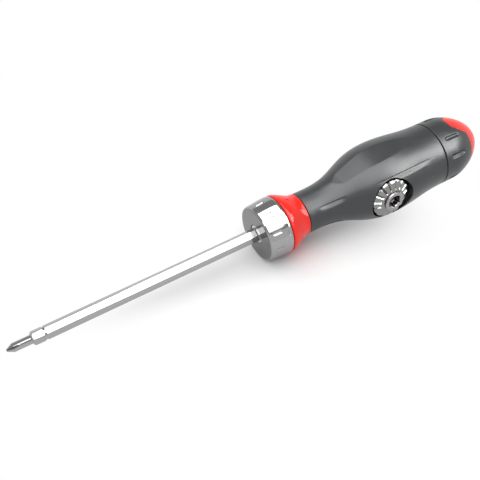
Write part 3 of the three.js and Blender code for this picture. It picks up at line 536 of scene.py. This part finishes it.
def bumped(nodes, links, surface, value, depth):
    """Raises a surface by a noise, to a depth in metres."""
    bump = nodes.new("ShaderNodeBump")
    bump.inputs["Distance"].default_value = depth
    links.new(value, bump.inputs["Height"])
    links.new(bump.outputs["Normal"], surface.inputs["Normal"])


def plastic(name, colour, roughness, specular, grain):
    """Moulded plastic with a fine spark-eroded grain and faint clouds of gloss."""
    material, nodes, links, surface = shader(name, colour, 0, roughness)
    surface.inputs["Specular IOR Level"].default_value = specular
    tinted(nodes, links, surface, noise(nodes, links, *CLOUDS), colour, PLASTIC_TINT)
    low, high = (roughness + part for part in PLASTIC_GLOSS)
    gloss = ranged(nodes, links, noise(nodes, links, *SHEEN), low, high)
    links.new(gloss, surface.inputs["Roughness"])
    bumped(nodes, links, surface, noise(nodes, links, *GRAIN), grain)
    return material


def metal(name, colour, roughness, stretch, brush):
    """Plated or ground metal with fine lines, long where the stretch is small."""
    material, nodes, links, surface = shader(name, colour, 1, roughness)
    lines = noise(nodes, links, *LINES, stretch)
    tinted(nodes, links, surface, lines, colour, METAL_TINT)
    low, high = (roughness * part for part in METAL_GLOSS)
    links.new(ranged(nodes, links, lines, low, high), surface.inputs["Roughness"])
    bumped(nodes, links, surface, lines, brush)
    return material


def darker_face(material):
    """Halves the colour of the selector ring's flat front face, easing back to the full colour just behind
    it.
    """
    nodes, links = material.node_tree.nodes, material.node_tree.links
    surface = nodes["Principled BSDF"]
    colour = surface.inputs["Base Color"].links[0].from_socket
    place = nodes.new("ShaderNodeTexCoord")
    apart = nodes.new("ShaderNodeSeparateXYZ")
    links.new(place.outputs["Object"], apart.inputs[0])
    behind = nodes.new("ShaderNodeMapRange")
    behind.inputs["From Min"].default_value = TIP_X + (SELECTOR_FROM + SHADE_FROM) * MM
    behind.inputs["From Max"].default_value = TIP_X + (SELECTOR_FROM + SHADE_TO) * MM
    behind.inputs["To Min"].default_value = FACE_SHADE
    behind.inputs["To Max"].default_value = 1
    links.new(apart.outputs["X"], behind.inputs["Value"])
    dim = nodes.new("ShaderNodeVectorMath")
    dim.operation = "SCALE"
    links.new(colour, dim.inputs[0])
    links.new(behind.outputs["Result"], dim.inputs["Scale"])
    links.new(dim.outputs[0], surface.inputs["Base Color"])


DARK_GREY = (0.025, 0.028, 0.0295)

grip_plastic = plastic("grip_plastic", DARK_GREY, 0.32, 0.5, 2.5e-5)
cap_plastic = plastic("cap_plastic", DARK_GREY, 0.32, 0.5, 2.5e-5)
core_plastic = plastic("core_plastic", (0.018, 0.019, 0.020), 0.5, 0.5, 3e-5)
red_plastic = plastic("red_plastic", (0.78, 0.020, 0.011), 0.12, 0.28, 2e-6)
red_insert = plastic("red_insert", (0.78, 0.024, 0.014), 0.24, 0.28, 8e-6)
blade_steel = metal("blade_steel", (0.38, 0.38, 0.385), 0.15, LENGTHWISE, 4e-6)
selector_chrome = metal("selector_chrome", (0.34, 0.34, 0.345), 0.08, ROUND, 1e-6)
darker_face(selector_chrome)
wheel_chrome = metal("wheel_chrome", (0.26, 0.26, 0.255), 0.2, EVEN, 3e-6)
hub_steel = metal("hub_steel", (0.32, 0.31, 0.31), 0.28, EVEN, 5e-6)
bright_steel = metal("bright_steel", (0.55, 0.55, 0.56), 0.24, EVEN, 4e-6)
dark_steel = metal("dark_steel", (0.12, 0.12, 0.125), 0.38, EVEN, 8e-6)
bronze = metal("bronze", (0.44, 0.27, 0.11), 0.36, EVEN, 8e-6)


def dressed(piece, body, material, *nodes):
    """Gives a new piece its finish, its body and the solids that it stands for."""
    piece.data.materials.clear()
    piece.data.materials.append(material)
    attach(piece, body)
    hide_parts(*nodes)
    return piece


# Blade
HEX_COLUMNS = np.radians([60 * side + off for side in range(6) for off in HEX_OFFSETS])


def tip_radius(along):
    """Radius of the cross point at each of the blade's angles."""
    cone = POINT_R + (TIP_R - POINT_R) * min(along / POINT_LENGTH, 1)
    core = FLUTE_CORE_R + (TIP_R - FLUTE_CORE_R) * along / FLUTE_LENGTH
    radius = np.full(len(HEX_COLUMNS), cone)
    for flute in TIP_FLUTES:
        off = np.abs(turn_from(HEX_COLUMNS, flute))
        room = np.cos(off) - np.sin(off) / FLUTE_SPREAD
        floor = np.where(room > FLUTE_LEAST, core / np.maximum(room, FLUTE_LEAST), cone)
        radius = np.minimum(radius, floor)
    return radius


def blade_rows():
    """Rows from the point to the middle of the blade."""
    flutes = (POINT_LENGTH, FLUTE_LENGTH + FLUTE_RUN_OUT, FLUTE_STEP)
    rows = [(0, tip_radius(0) * POINT_ROUND)]
    rows += [(along, tip_radius(along)) for along in stepped((0, POINT_LENGTH, POINT_STEP), flutes)]
    rows += [(TIP_NECK + along, TIP_R + out) for along, out in NECK_FILLET]
    bar = np.minimum(hex_radius(HEX_COLUMNS, HEX_AF), HEX_EDGE_R)
    start = HEX_AF / 2 - HEX_CHAMFER / 2
    for cut in np.linspace(0, HEX_CHAMFER, CHAMFER_STEPS + 1):
        rows.append((TIP_NECK + cut, np.minimum(bar, start + cut)))
    notch = ((-NOTCH_MOUTH, HEX_EDGE_R), (-1, NOTCH_R), (1, NOTCH_R), (NOTCH_MOUTH, HEX_EDGE_R))
    rows += [(NOTCH_AT + off * NOTCH_HALF, np.minimum(bar, radius)) for off, radius in notch]
    rows += [(NOTCH_AT + gap, bar) for gap in BAR_ROWS]
    rows.append((BLADE_LENGTH / 2, bar))
    return rows


def make_blade():
    near_half = blade_rows()
    # the far point is the near one turned end for end, which a hexagon and four flutes repeat
    far_half = [(BLADE_LENGTH - along, radius) for along, radius in reversed(near_half[:-1])]
    blade = loft("blade_bar", near_half + far_half, HEX_COLUMNS, ring=False)
    dressed(blade, "blade", blade_steel, "blade")


# Selector ring
def selector_outline():
    """Outside of the selector ring, from the edge of its front face to its rear edge."""
    edge = SELECTOR_FROM + EDGE_LENGTH
    crown = SELECTOR_TO - BARREL_CROWN
    front = bezier(
        (SELECTOR_FROM, FACE_R),
        (SELECTOR_FROM, FACE_R + FACE_EASE),
        (SELECTOR_FROM + EDGE_EASE, EDGE_R - EDGE_DROP),
        (edge, EDGE_R),
        EDGE_STEPS,
    )
    barrel = bezier(
        (edge, EDGE_R),
        (edge + EDGE_LENGTH, EDGE_R + BARREL_RISE),
        (crown - BARREL_EASE, BARREL_R - CROWN_DROP),
        (crown, BARREL_R),
        BARREL_STEPS,
    )
    rim = bezier(
        (crown, BARREL_R),
        (crown + REAR_EASE, BARREL_R),
        (SELECTOR_TO - REAR_TURN, REAR_R + REAR_RISE),
        (SELECTOR_TO, REAR_R - REAR_DROP),
        REAR_STEPS,
    )
    return np.concatenate([front[:-1], barrel, rim[1:]])


DIMPLE_ANGLES = [BARS_ANGLE + 360 * place / DIMPLES for place in range(1, DIMPLES)]
BAR_ANGLES = [BARS_ANGLE - BARS_SPREAD, BARS_ANGLE + BARS_SPREAD]


def selector_relief(along, radius, angles):
    """Depth of the finger dimples, the two bars and the slots by the rear rim."""
    depth = np.zeros(len(angles))
    middle = along - SELECTOR_FROM - DIMPLE_MIDDLE
    for place in DIMPLE_ANGLES:
        across = radius * turn_from(angles, place)
        depth += DIMPLE_DEPTH * bathtub(middle, across, DIMPLE_LENGTH, DIMPLE_WIDTH)
    for place in BAR_ANGLES:
        across = radius * turn_from(angles, place)
        depth += BAR_DEPTH * bathtub(middle, across, BAR_LENGTH, BAR_WIDTH)
    behind = along - SELECTOR_TO + RIM_MARK_FROM_REAR
    for place, length in RIM_MARKS:
        across = radius * turn_from(angles, place)
        depth += RIM_MARK_DEPTH * bathtub(across, behind, length, RIM_MARK_WIDTH)
    return depth


def make_selector():
    fine = [near(place, DIMPLE_SPAN, CARVED_STEP) for place in DIMPLE_ANGLES]
    fine += [near(place, BAR_SPAN, KEEN_STEP) for place in BAR_ANGLES]
    fine += [near(place, RIM_MARK_SPAN, CARVED_STEP) for place, _ in RIM_MARKS]
    angles = columns(COARSE, *fine)
    flange = SELECTOR_FROM + SELECTOR_FLANGE
    rows = [(SELECTOR_FROM + NOSE_CHAMFER, NOSE_HOLE_R), (SELECTOR_FROM, NOSE_HOLE_R + NOSE_CHAMFER)]
    rows += [(SELECTOR_FROM, radius) for radius in FACE_ROWS]
    for along, radius in selector_outline():
        rows.append((along, radius - selector_relief(along, radius, angles)))
    rows.append((SELECTOR_TO, SELECTOR_BORE_R))
    for held in SELECTOR_HOLDS:
        spaces = np.array([seat(node, axial) for node in held.split()])
        start, end, outer = spaces[:, 0].min(), spaces[:, 1].max(), spaces[:, 3].max()
        rows += [(end, SELECTOR_BORE_R), (end, outer), (start, outer), (start, SELECTOR_BORE_R)]
    rows += [(flange, SELECTOR_BORE_R), (flange, NOSE_HOLE_R)]
    dressed(loft("selector_collar", rows, angles), "selector", selector_chrome, "selector_ring")


# Index ring
def pointer_depth(along, radius, angles):
    """A small engraved pointer at the top of the index ring."""
    share = (along - RING_FROM - POINTER_AT) / POINTER_LENGTH + 0.5
    if not 0 <= share <= 1:
        return 0
    half = share * POINTER_WIDTH / 2
    across = np.abs(radius * turn_from(angles, 0))
    return POINTER_DEPTH * smooth((half - across) / POINTER_SIDE)


def make_index_ring():
    angles = columns(COARSE, near(0, POINTER_SPAN, KEEN_STEP))
    edge = RING_FRONT_EDGE
    front = corner((RING_FROM + edge, RING_FRONT_R - edge), edge, 180, FLARE_TURN)
    rear_from = RING_TO - RING_REAR_EDGE
    flare = bezier(
        tuple(front[-1]),
        (RING_FROM + RING_FRONT_EASE, RING_FRONT_R - RING_FRONT_DROP),
        (RING_TO - RING_REAR_EASE, RING_REAR_R + RING_REAR_RISE),
        (rear_from, RING_REAR_R),
        FLARE_STEPS,
    )
    rear = corner((rear_from, RING_REAR_R - RING_REAR_EDGE), RING_REAR_EDGE, 90, 0)
    rows = [(RING_FROM, SHANK_HOLE_R)]
    for along, radius in np.concatenate([front[:-1], flare, rear[1:]]):
        rows.append((along, radius - pointer_depth(along, radius, angles)))
    rows.append((RING_TO, SHANK_HOLE_R))
    dressed(loft("index_collar", rows, angles), "handle", red_plastic, "index_ring")


# Grip
def grip_profile():
    """The grip's outline as two arrays, the places along the axis and the radii there."""
    neck = GRIP_FROM + NECK_LENGTH
    belly = neck + SWELL_LENGTH
    swell = bezier(
        (neck, NECK_R),
        (neck + SWELL_EASE, NECK_R),
        (belly - SWELL_EASE, BELLY_R),
        (belly, BELLY_R),
        SWELL_STEPS,
    )
    taper = bezier(
        (belly, BELLY_R),
        (belly + BELLY_EASE, BELLY_R),
        (GRIP_TO - WAIST_EASE, WAIST_R),
        (GRIP_TO, WAIST_R),
        TAPER_STEPS,
    )
    points = np.concatenate([[(GRIP_FROM, NECK_R)], swell, taper[1:]])
    return points[:, 0], points[:, 1]


GRIP_ALONG, GRIP_RADIUS = grip_profile()


def panel_cut(along, radius, angles):
    """Depth of the flattened panel along the top of the grip."""
    behind = along - GRIP_FROM
    ramp = np.clip((behind - PANEL_FROM) / PANEL_RAMP, 0, 1)
    fade = 1 - smooth((behind - PANEL_FADE_FROM) / (PANEL_FADE_TO - PANEL_FADE_FROM))
    sagitta = radius * (1 - math.cos(math.radians(PANEL_HALF))) * ramp * fade
    off = turn_from(angles, PANEL_ANGLE)
    flat = (radius - sagitta) / np.maximum(np.cos(off), PANEL_LEAST_COS)
    return np.maximum(radius - flat, 0)


def groove_cut(along, radius, angles, centre, span):
    """Depth of one tapered groove, with a steep wall towards the top or bottom."""
    share = (along - GRIP_FROM - span[0]) / (span[1] - span[0])
    if not 0 < share < 1:
        return 0
    length_share = math.sin(math.pi * share) ** GROOVE_TAPER
    towards = 1 if centre in STEEP_BEFORE else -1
    across = towards * radius * turn_from(angles, centre)
    wall = smooth((across + GROOVE_STEP) / GROOVE_STEP)
    bank = 1 - smooth(across / GROOVE_BANK)
    return GROOVE_DEPTH * length_share * wall * bank


def edge_drop(distance, size):
    """How far a rounded edge lies below the surface at a distance from the end."""
    inside = max(size - distance, 0)
    return size - math.sqrt(max(size * size - inside * inside, 0))


def make_grip():
    fine = [near(centre, half, step) for centre in GROOVE_ANGLES for half, step in GROOVE_SPANS]
    creases = (PANEL_ANGLE - PANEL_HALF, PANEL_ANGLE + PANEL_HALF)
    fine += [near(crease, CREASE_SPAN, CREASE_STEP) for crease in creases]
    angles = columns(FINE, *fine)
    panel = GRIP_FROM + PANEL_FROM
    places = stepped(
        (GRIP_FROM, GRIP_FROM + GRIP_FRONT_RUN, GRIP_EDGE_STEP),
        (GRIP_FROM + GRIP_FRONT_RUN, panel - PANEL_LEAD, GRIP_ROW_STEP),
        (panel - PANEL_LEAD, panel + PANEL_PAST, PANEL_STEP),
        (panel + PANEL_PAST, GRIP_TO - GRIP_REAR_RUN, GRIP_ROW_STEP),
        (GRIP_TO - GRIP_REAR_RUN, GRIP_TO, GRIP_EDGE_STEP),
    )
    rows = []
    for along in places:
        radius = float(np.interp(along, GRIP_ALONG, GRIP_RADIUS))
        depth = panel_cut(along, radius, angles)
        for centre in GROOVE_ANGLES:
            depth = depth + groove_cut(along, radius, angles, centre, NECK_GROOVE)
            depth = depth + groove_cut(along, radius, angles, centre, BELLY_GROOVE)
        ends = edge_drop(along - GRIP_FROM, GRIP_FRONT_EDGE) + edge_drop(GRIP_TO - along, GRIP_REAR_EDGE)
        rows.append((along, radius - depth - ends))
    for along in np.linspace(GRIP_TO, GRIP_FROM, GRIP_INNER_ROWS):
        rows.append((along, float(np.interp(along, GRIP_ALONG, GRIP_RADIUS)) - GRIP_WALL))
    grip = loft("grip_shell", rows, angles)
    around = np.linspace(0, FULL_TURN, POCKET_COLUMNS, endpoint=False)
    pocket_r = WHEEL_R + WHEEL_GAP
    rows = [(POCKET_FLOOR, pocket_r), (POCKET_REACH, pocket_r)]
    cutter = loft("pocket", rows, around, sideways, ring=False)
    dressed(carved(grip, cutter), "handle", grip_plastic, "grip")


# End cap and its insert
def cap_profile():
    """The cap's outline from its front edge to its end, as an array of (along, radius)."""
    straight = CAP_FROM + CAP_STRAIGHT
    edge = corner((CAP_FROM + CAP_FRONT_EDGE, WAIST_R - CAP_FRONT_EDGE), CAP_FRONT_EDGE, 180, 90)
    shoulder = (straight + CAP_SHOULDER, WAIST_R)
    dome = bezier((straight, WAIST_R), shoulder, (CAP_TO, CAP_CROWN), (CAP_TO, 0), DOME_STEPS)
    return np.concatenate([edge, dome])


CAP_POINTS = cap_profile()
CAP_RUN = np.concatenate([[0], np.cumsum(np.hypot(*np.diff(CAP_POINTS, axis=0).T))])


def cap_at(run):
    """Places and radii on the cap's outline at distances along it."""
    return np.interp(run, CAP_RUN, CAP_POINTS[:, 0]), np.interp(run, CAP_RUN, CAP_POINTS[:, 1])


def insert_border(angles):
    """Distance along the outline where the insert starts, at each angle."""
    lobe = np.interp(CAP_FROM + LOBE_FROM, CAP_POINTS[:, 0], CAP_RUN)
    full = np.interp(CAP_FROM + INSERT_FROM, CAP_POINTS[:, 0], CAP_RUN)
    off = np.degrees(np.abs(turn_from(2 * angles, 0))) / 2
    rise = smooth((off - LOBE_HALF_ANGLE) / LOBE_EASE)
    round_end = 1 - np.cbrt(np.clip(1 - (off / LOBE_HALF_ANGLE) ** 3, 0, 1))
    shift = np.where(off < LOBE_HALF_ANGLE, LOBE_ROUND * round_end, LOBE_ROUND + (1 - LOBE_ROUND) * rise)
    return lobe + (full - lobe) * shift


def cap_relief(along, angles):
    """Depth of the oblong grooves round the cap."""
    depth = np.zeros(len(angles))
    middle = along - CAP_FROM - CAP_GROOVE_FROM - CAP_GROOVE_LENGTH / 2
    for centre in CAP_GROOVE_ANGLES:
        across = WAIST_R * turn_from(angles, centre)
        depth += CAP_GROOVE_DEPTH * bathtub(middle, across, CAP_GROOVE_LENGTH, CAP_GROOVE_WIDTH)
    return depth


def make_cap():
    fine = [near(centre, CAP_GROOVE_SPAN, CARVED_STEP) for centre in CAP_GROOVE_ANGLES]
    fine += [near(centre, LOBE_SPAN, LOBE_STEP) for centre in LOBES]
    angles = columns(FINE, *fine)
    border = insert_border(angles)
    rows = [cap_at(run + 0 * angles) for run in np.linspace(0, CAP_EDGE_RUN, CAP_EDGE_ROWS)]
    for share in np.linspace(0, 1, CAP_ROWS)[1:]:
        along, radius = cap_at(CAP_EDGE_RUN + share * (border - CAP_EDGE_RUN))
        rows.append((along, radius - cap_relief(along, angles)))
    along, radius = cap_at(border)
    rows += [(along, radius - INSERT_LIP), (along - CAP_LEDGE, radius - CAP_WALL)]
    rows.append((CAP_FROM + CAP_HOLLOW, WAIST_R - CAP_WALL))
    rows += [(CAP_FROM + CAP_WEB, CAP_BORE_R), (CAP_FROM, CAP_BORE_R)]
    dressed(loft("swivel_cap", rows, angles), "cap", cap_plastic, "end_cap")

    start = border + INSERT_GAP
    along, radius = cap_at(start)
    rows = [(along, radius - inset) for inset in (CAP_WALL, INSERT_LIP, INSERT_EDGE)]
    rows += [cap_at(start + share * (CAP_RUN[-1] - start)) for share in INSERT_SHARES]
    insert = loft("end_insert", rows, angles, ring=False)
    dressed(insert, "cap", red_insert, "cap_insert")


# Finger wheel and hub
def make_wheel():
    pitch = FULL_TURN / WHEEL_FLUTES
    angles = np.linspace(0, FULL_TURN, WHEEL_FLUTES * FLUTE_COLUMNS, endpoint=False)
    off = angles % pitch - pitch / 2
    shoulder = WHEEL_TOP - WHEEL_SHOULDER
    dome = bezier(
        (shoulder, WHEEL_R),
        (shoulder + WHEEL_SHOULDER_EASE, WHEEL_R),
        (WHEEL_TOP - WHEEL_CROWN_DROP, WHEEL_CROWN_R),
        (WHEEL_TOP, HUB_FLANGE_R),
        WHEEL_STEPS,
    )
    edge = [(WHEEL_BACK, WHEEL_R - WHEEL_BACK_EDGE), (WHEEL_BACK + WHEEL_BACK_EDGE, WHEEL_R)]
    outline = np.concatenate([edge, dome])
    way = np.gradient(outline, axis=0)
    way /= np.hypot(way[:, :1], way[:, 1:])
    _, tip, inner, outer = seat("click_pin", sideways)
    rows = [(WHEEL_BACK, WHEEL_BORE_R)]
    rows += [(WHEEL_BACK, inner), (tip, inner), (tip, outer), (WHEEL_BACK, outer)]
    for (along, radius), (run, rise) in zip(outline, way):
        narrow = FLUTE_MOUTH_LEAST + (1 - FLUTE_MOUTH_LEAST) * radius / WHEEL_R
        vee = np.clip(1 - np.abs(radius * off) / (FLUTE_HALF_MOUTH * narrow), 0, 1)
        depth = FLUTE_CUT * vee * smooth((radius - HUB_FLANGE_R - FLUTE_FADE_FROM) / FLUTE_FADE)
        rows.append((along + rise * depth, radius - run * depth))
    rows.append((WHEEL_TOP, WHEEL_BORE_R))
    dressed(loft("finger_wheel", rows, angles, sideways), "side_drive", wheel_chrome, "side_wheel")


def make_hub():
    angles = HEX_COLUMNS
    socket = hex_radius(angles, SOCKET_AF)
    lead = np.maximum(socket, SOCKET_AF / 2 + HUB_COUNTERSINK)
    back = HUB_FACE - HUB_FLANGE
    start, end, inner, _ = seat("side_circlip", sideways)
    rows = [(HUB_INNER, socket), (HUB_INNER, HUB_R)]
    rows += [(start, HUB_R), (start, inner), (end, inner), (end, HUB_R)]
    rows += [(back, HUB_R), (back, HUB_FLANGE_R - HUB_BACK_EDGE), (back + HUB_BACK_EDGE, HUB_FLANGE_R)]
    bulge = EDGE_BULGE * HUB_EDGE
    rows += [(HUB_FACE - HUB_EDGE, HUB_FLANGE_R), (HUB_FACE - bulge, HUB_FLANGE_R - bulge)]
    rows += [(HUB_FACE, HUB_FLANGE_R - HUB_EDGE), (HUB_FACE, HUB_FACE_ROW_R), (HUB_FACE, lead)]
    rows.append((HUB_FACE - HUB_COUNTERSINK, socket))
    start, end, _, outer = seat("side_retaining_ring", sideways)
    rows += [(end, socket), (end, outer), (start, outer), (start, socket)]
    dressed(loft("hex_hub", rows, angles, sideways), "side_drive", hub_steel, "side_hub")


make_blade()
make_selector()
make_index_ring()
make_grip()
make_cap()
make_wheel()
make_hub()

# Solids that stay, with their finishes
KEPT = {
    bright_steel: (
        "spindle blade_retaining_ring pawl_pin pawl_ball pawl_leaf_spring selector_snap_ring "
        "detent_ball detent_spring housing_dowel_left housing_dowel_right side_retaining_ring "
        "click_spring cap_spring_washer"
    ),
    dark_steel: "spindle_circlip blade_stop ratchet_housing rocking_pawl side_circlip click_pin cap_screw",
    bronze: "front_bush rear_bush side_bush",
    core_plastic: "handle_core cap_carrier cap_washer",
}
for material, names in KEPT.items():
    for name in names.split():
        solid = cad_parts[name]
        solid.data.materials.clear()
        solid.data.materials.append(material)

# Stage: the tool lies on its selector ring and its belly, so the floor slopes against its axis
FLOOR_NORMAL = Vector((0.0706, 0, 0.9975)).normalized()
FLOOR_FLAT = 2.0  # m, radius of the flat floor, past which it curves up as a backdrop
RIM_REACH = 3.0
RIM_RISE = 2.2
RIM_STEPS = 12
FLOOR_SPOKES = 72
FLOOR_COLOUR = (0.7, 0.7, 0.7)
FLOOR_ROUGHNESS = 0.9
FLOOR_SPECULAR = 0.1
FLOOR_GAP = 0.0001
PLAIN_FROM = 0.02  # from the tool's middle line, where the floor starts to turn to plain white
PLAIN_TO = 0.11


def arithmetic(nodes, links, operation, first, second):
    """One step of arithmetic in a material, on a socket and a socket or number."""
    step = nodes.new("ShaderNodeMath")
    step.operation = operation
    links.new(first, step.inputs[0])
    if isinstance(second, (int, float)):
        step.inputs[1].default_value = second
    else:
        links.new(second, step.inputs[1])
    return step.outputs[0]


def floor_mesh():
    """A disc whose rim curves up."""
    vertices = [(0, 0, 0)]
    for step in range(RIM_STEPS + 1):
        turn = step / RIM_STEPS * math.pi / 2
        radius = FLOOR_FLAT + RIM_REACH * math.sin(turn)
        height = RIM_RISE * (1 - math.cos(turn))
        for spoke in range(FLOOR_SPOKES):
            around = spoke / FLOOR_SPOKES * FULL_TURN
            vertices.append((radius * math.cos(around), radius * math.sin(around), height))
    faces = []
    for spoke in range(FLOOR_SPOKES):
        beside = (spoke + 1) % FLOOR_SPOKES
        faces.append((0, 1 + spoke, 1 + beside))
        for step in range(RIM_STEPS):
            inner = 1 + step * FLOOR_SPOKES
            outer = inner + FLOOR_SPOKES
            faces.append((inner + spoke, outer + spoke, outer + beside, inner + beside))
    mesh = bpy.data.meshes.new("floor")
    mesh.from_pydata(vertices, [], faces)
    return mesh


def floor_paper():
    """Paper that takes shadows near the tool and looks plain white away from it."""
    material = bpy.data.materials.new("floor_paper")
    material.use_nodes = True
    nodes, links = material.node_tree.nodes, material.node_tree.links
    surface = nodes["Principled BSDF"]
    surface.inputs["Base Color"].default_value = (*FLOOR_COLOUR, 1)
    surface.inputs["Roughness"].default_value = FLOOR_ROUGHNESS
    surface.inputs["Specular IOR Level"].default_value = FLOOR_SPECULAR
    place = nodes.new("ShaderNodeTexCoord")
    apart = nodes.new("ShaderNodeSeparateXYZ")
    links.new(place.outputs["Object"], apart.inputs[0])
    length = arithmetic(nodes, links, "ABSOLUTE", apart.outputs["X"], 0)
    past = arithmetic(nodes, links, "SUBTRACT", length, (CAD_BOX[1].x - CAD_BOX[0].x) / 2)
    beyond = arithmetic(nodes, links, "MAXIMUM", past, 0)
    away = nodes.new("ShaderNodeCombineXYZ")
    links.new(beyond, away.inputs["X"])
    links.new(apart.outputs["Y"], away.inputs["Y"])
    distance = nodes.new("ShaderNodeVectorMath")
    distance.operation = "LENGTH"
    links.new(away.outputs[0], distance.inputs[0])
    plain = nodes.new("ShaderNodeMapRange")
    plain.interpolation_type = "SMOOTHSTEP"
    plain.inputs["From Min"].default_value = PLAIN_FROM
    plain.inputs["From Max"].default_value = PLAIN_TO
    links.new(distance.outputs["Value"], plain.inputs["Value"])
    path = nodes.new("ShaderNodeLightPath")
    seen = path.outputs["Is Camera Ray"]
    for ray in ("Is Glossy Ray", "Is Transmission Ray"):
        seen = arithmetic(nodes, links, "MAXIMUM", seen, path.outputs[ray])
    share = arithmetic(nodes, links, "MULTIPLY", seen, plain.outputs["Result"])
    white = nodes.new("ShaderNodeEmission")
    mix = nodes.new("ShaderNodeMixShader")
    links.new(share, mix.inputs[0])
    links.new(surface.outputs[0], mix.inputs[1])
    links.new(white.outputs[0], mix.inputs[2])
    links.new(mix.outputs[0], nodes["Material Output"].inputs["Surface"])
    return material


def make_floor():
    graph = bpy.context.evaluated_depsgraph_get()
    lowest = min(
        FLOOR_NORMAL.dot(vertex.co)
        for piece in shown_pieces()
        for vertex in piece.evaluated_get(graph).data.vertices
    )
    floor = bpy.data.objects.new("floor", floor_mesh())
    floor.data.materials.append(floor_paper())
    bpy.context.scene.collection.objects.link(floor)
    floor.rotation_mode = "QUATERNION"
    floor.rotation_quaternion = FLOOR_NORMAL.to_track_quat("Z", "Y")
    floor.location = FLOOR_NORMAL * (lowest - FLOOR_GAP)
    floor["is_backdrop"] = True


make_floor()

# Camera, at the photograph's place
CAMERA_PLACE = Vector((-159.05, -284.0, 340.4)) * MM
CAMERA_RIGHT = Vector((0.8571, -0.5115, -0.0606)).normalized()
CAMERA_LOOK = Vector((0.3253, 0.6289, -0.7062)).normalized()
LENS = 67.385
SENSOR = 36
NEAREST = 0.01  # m, what the camera can see
FARTHEST = 20

camera = bpy.data.objects.new("camera", bpy.data.cameras.new("camera"))
bpy.context.scene.collection.objects.link(camera)
camera.data.lens = LENS
camera.data.sensor_width = SENSOR
camera.data.clip_start = NEAREST
camera.data.clip_end = FARTHEST
camera_up = CAMERA_RIGHT.cross(CAMERA_LOOK)
turned = Matrix((CAMERA_RIGHT, camera_up, -CAMERA_LOOK)).transposed().to_4x4()
camera.matrix_world = Matrix.Translation(CAMERA_PLACE) @ turned
bpy.context.scene.camera = camera


# Lights: each lamp's two corners in millimetres and its radiance
LAMP_HEIGHT = 200
LAMPS = {
    "overhead_rear": ((-40, 0), (95, 95), 5),
    "overhead_middle": ((-40, -225), (150, 0), 5),
    "overhead_front": ((-40, -290), (90, -225), 2.5),
    "overhead_left": ((-150, -95), (-40, -25), 5),
    "overhead_right": ((150, -150), (200, -20), 9),
    "overhead_end": ((200, -150), (420, -70), 9),
    "front_right": ((150, -250), (250, -150), 9),
    "front_end": ((250, -440), (430, -150), 12),
    "spark": ((262, -232), (298, -188), 55),
}


def softbox(name, low, high, radiance):
    """A lamp that faces straight down and shows only in reflections."""
    data = bpy.data.lights.new(name, "AREA")
    data.shape = "RECTANGLE"
    data.size = (high[0] - low[0]) * MM
    data.size_y = (high[1] - low[1]) * MM
    data.energy = radiance * math.pi * data.size * data.size_y
    lamp = bpy.data.objects.new(name, data)
    bpy.context.scene.collection.objects.link(lamp)
    middle = Vector((low[0] + high[0], low[1] + high[1])) / 2
    lamp.location = Vector((*middle, LAMP_HEIGHT)) * MM
    lamp.visible_camera = False
    lamp.visible_diffuse = False


for name, lamp in LAMPS.items():
    softbox(name, *lamp)

SKY_FROM = Vector((-0.20, 0.08, 0.97))
SKY_STRENGTH = 3.3
SKY_SPREAD = 95  # degrees
WORLD_STRENGTH = 0.48

sky = bpy.data.objects.new("sky", bpy.data.lights.new("sky", "SUN"))
bpy.context.scene.collection.objects.link(sky)
sky.data.energy = SKY_STRENGTH
sky.data.angle = math.radians(SKY_SPREAD)
sky.rotation_euler = SKY_FROM.to_track_quat("Z", "Y").to_euler()
sky.visible_glossy = False

world = bpy.data.worlds.new("studio")
bpy.context.scene.world = world
world.use_nodes = True
background = world.node_tree.nodes["Background"]
background.inputs["Color"].default_value = (1, 1, 1, 1)
background.inputs["Strength"].default_value = WORLD_STRENGTH

bpy.context.scene.view_settings.view_transform = "Standard"
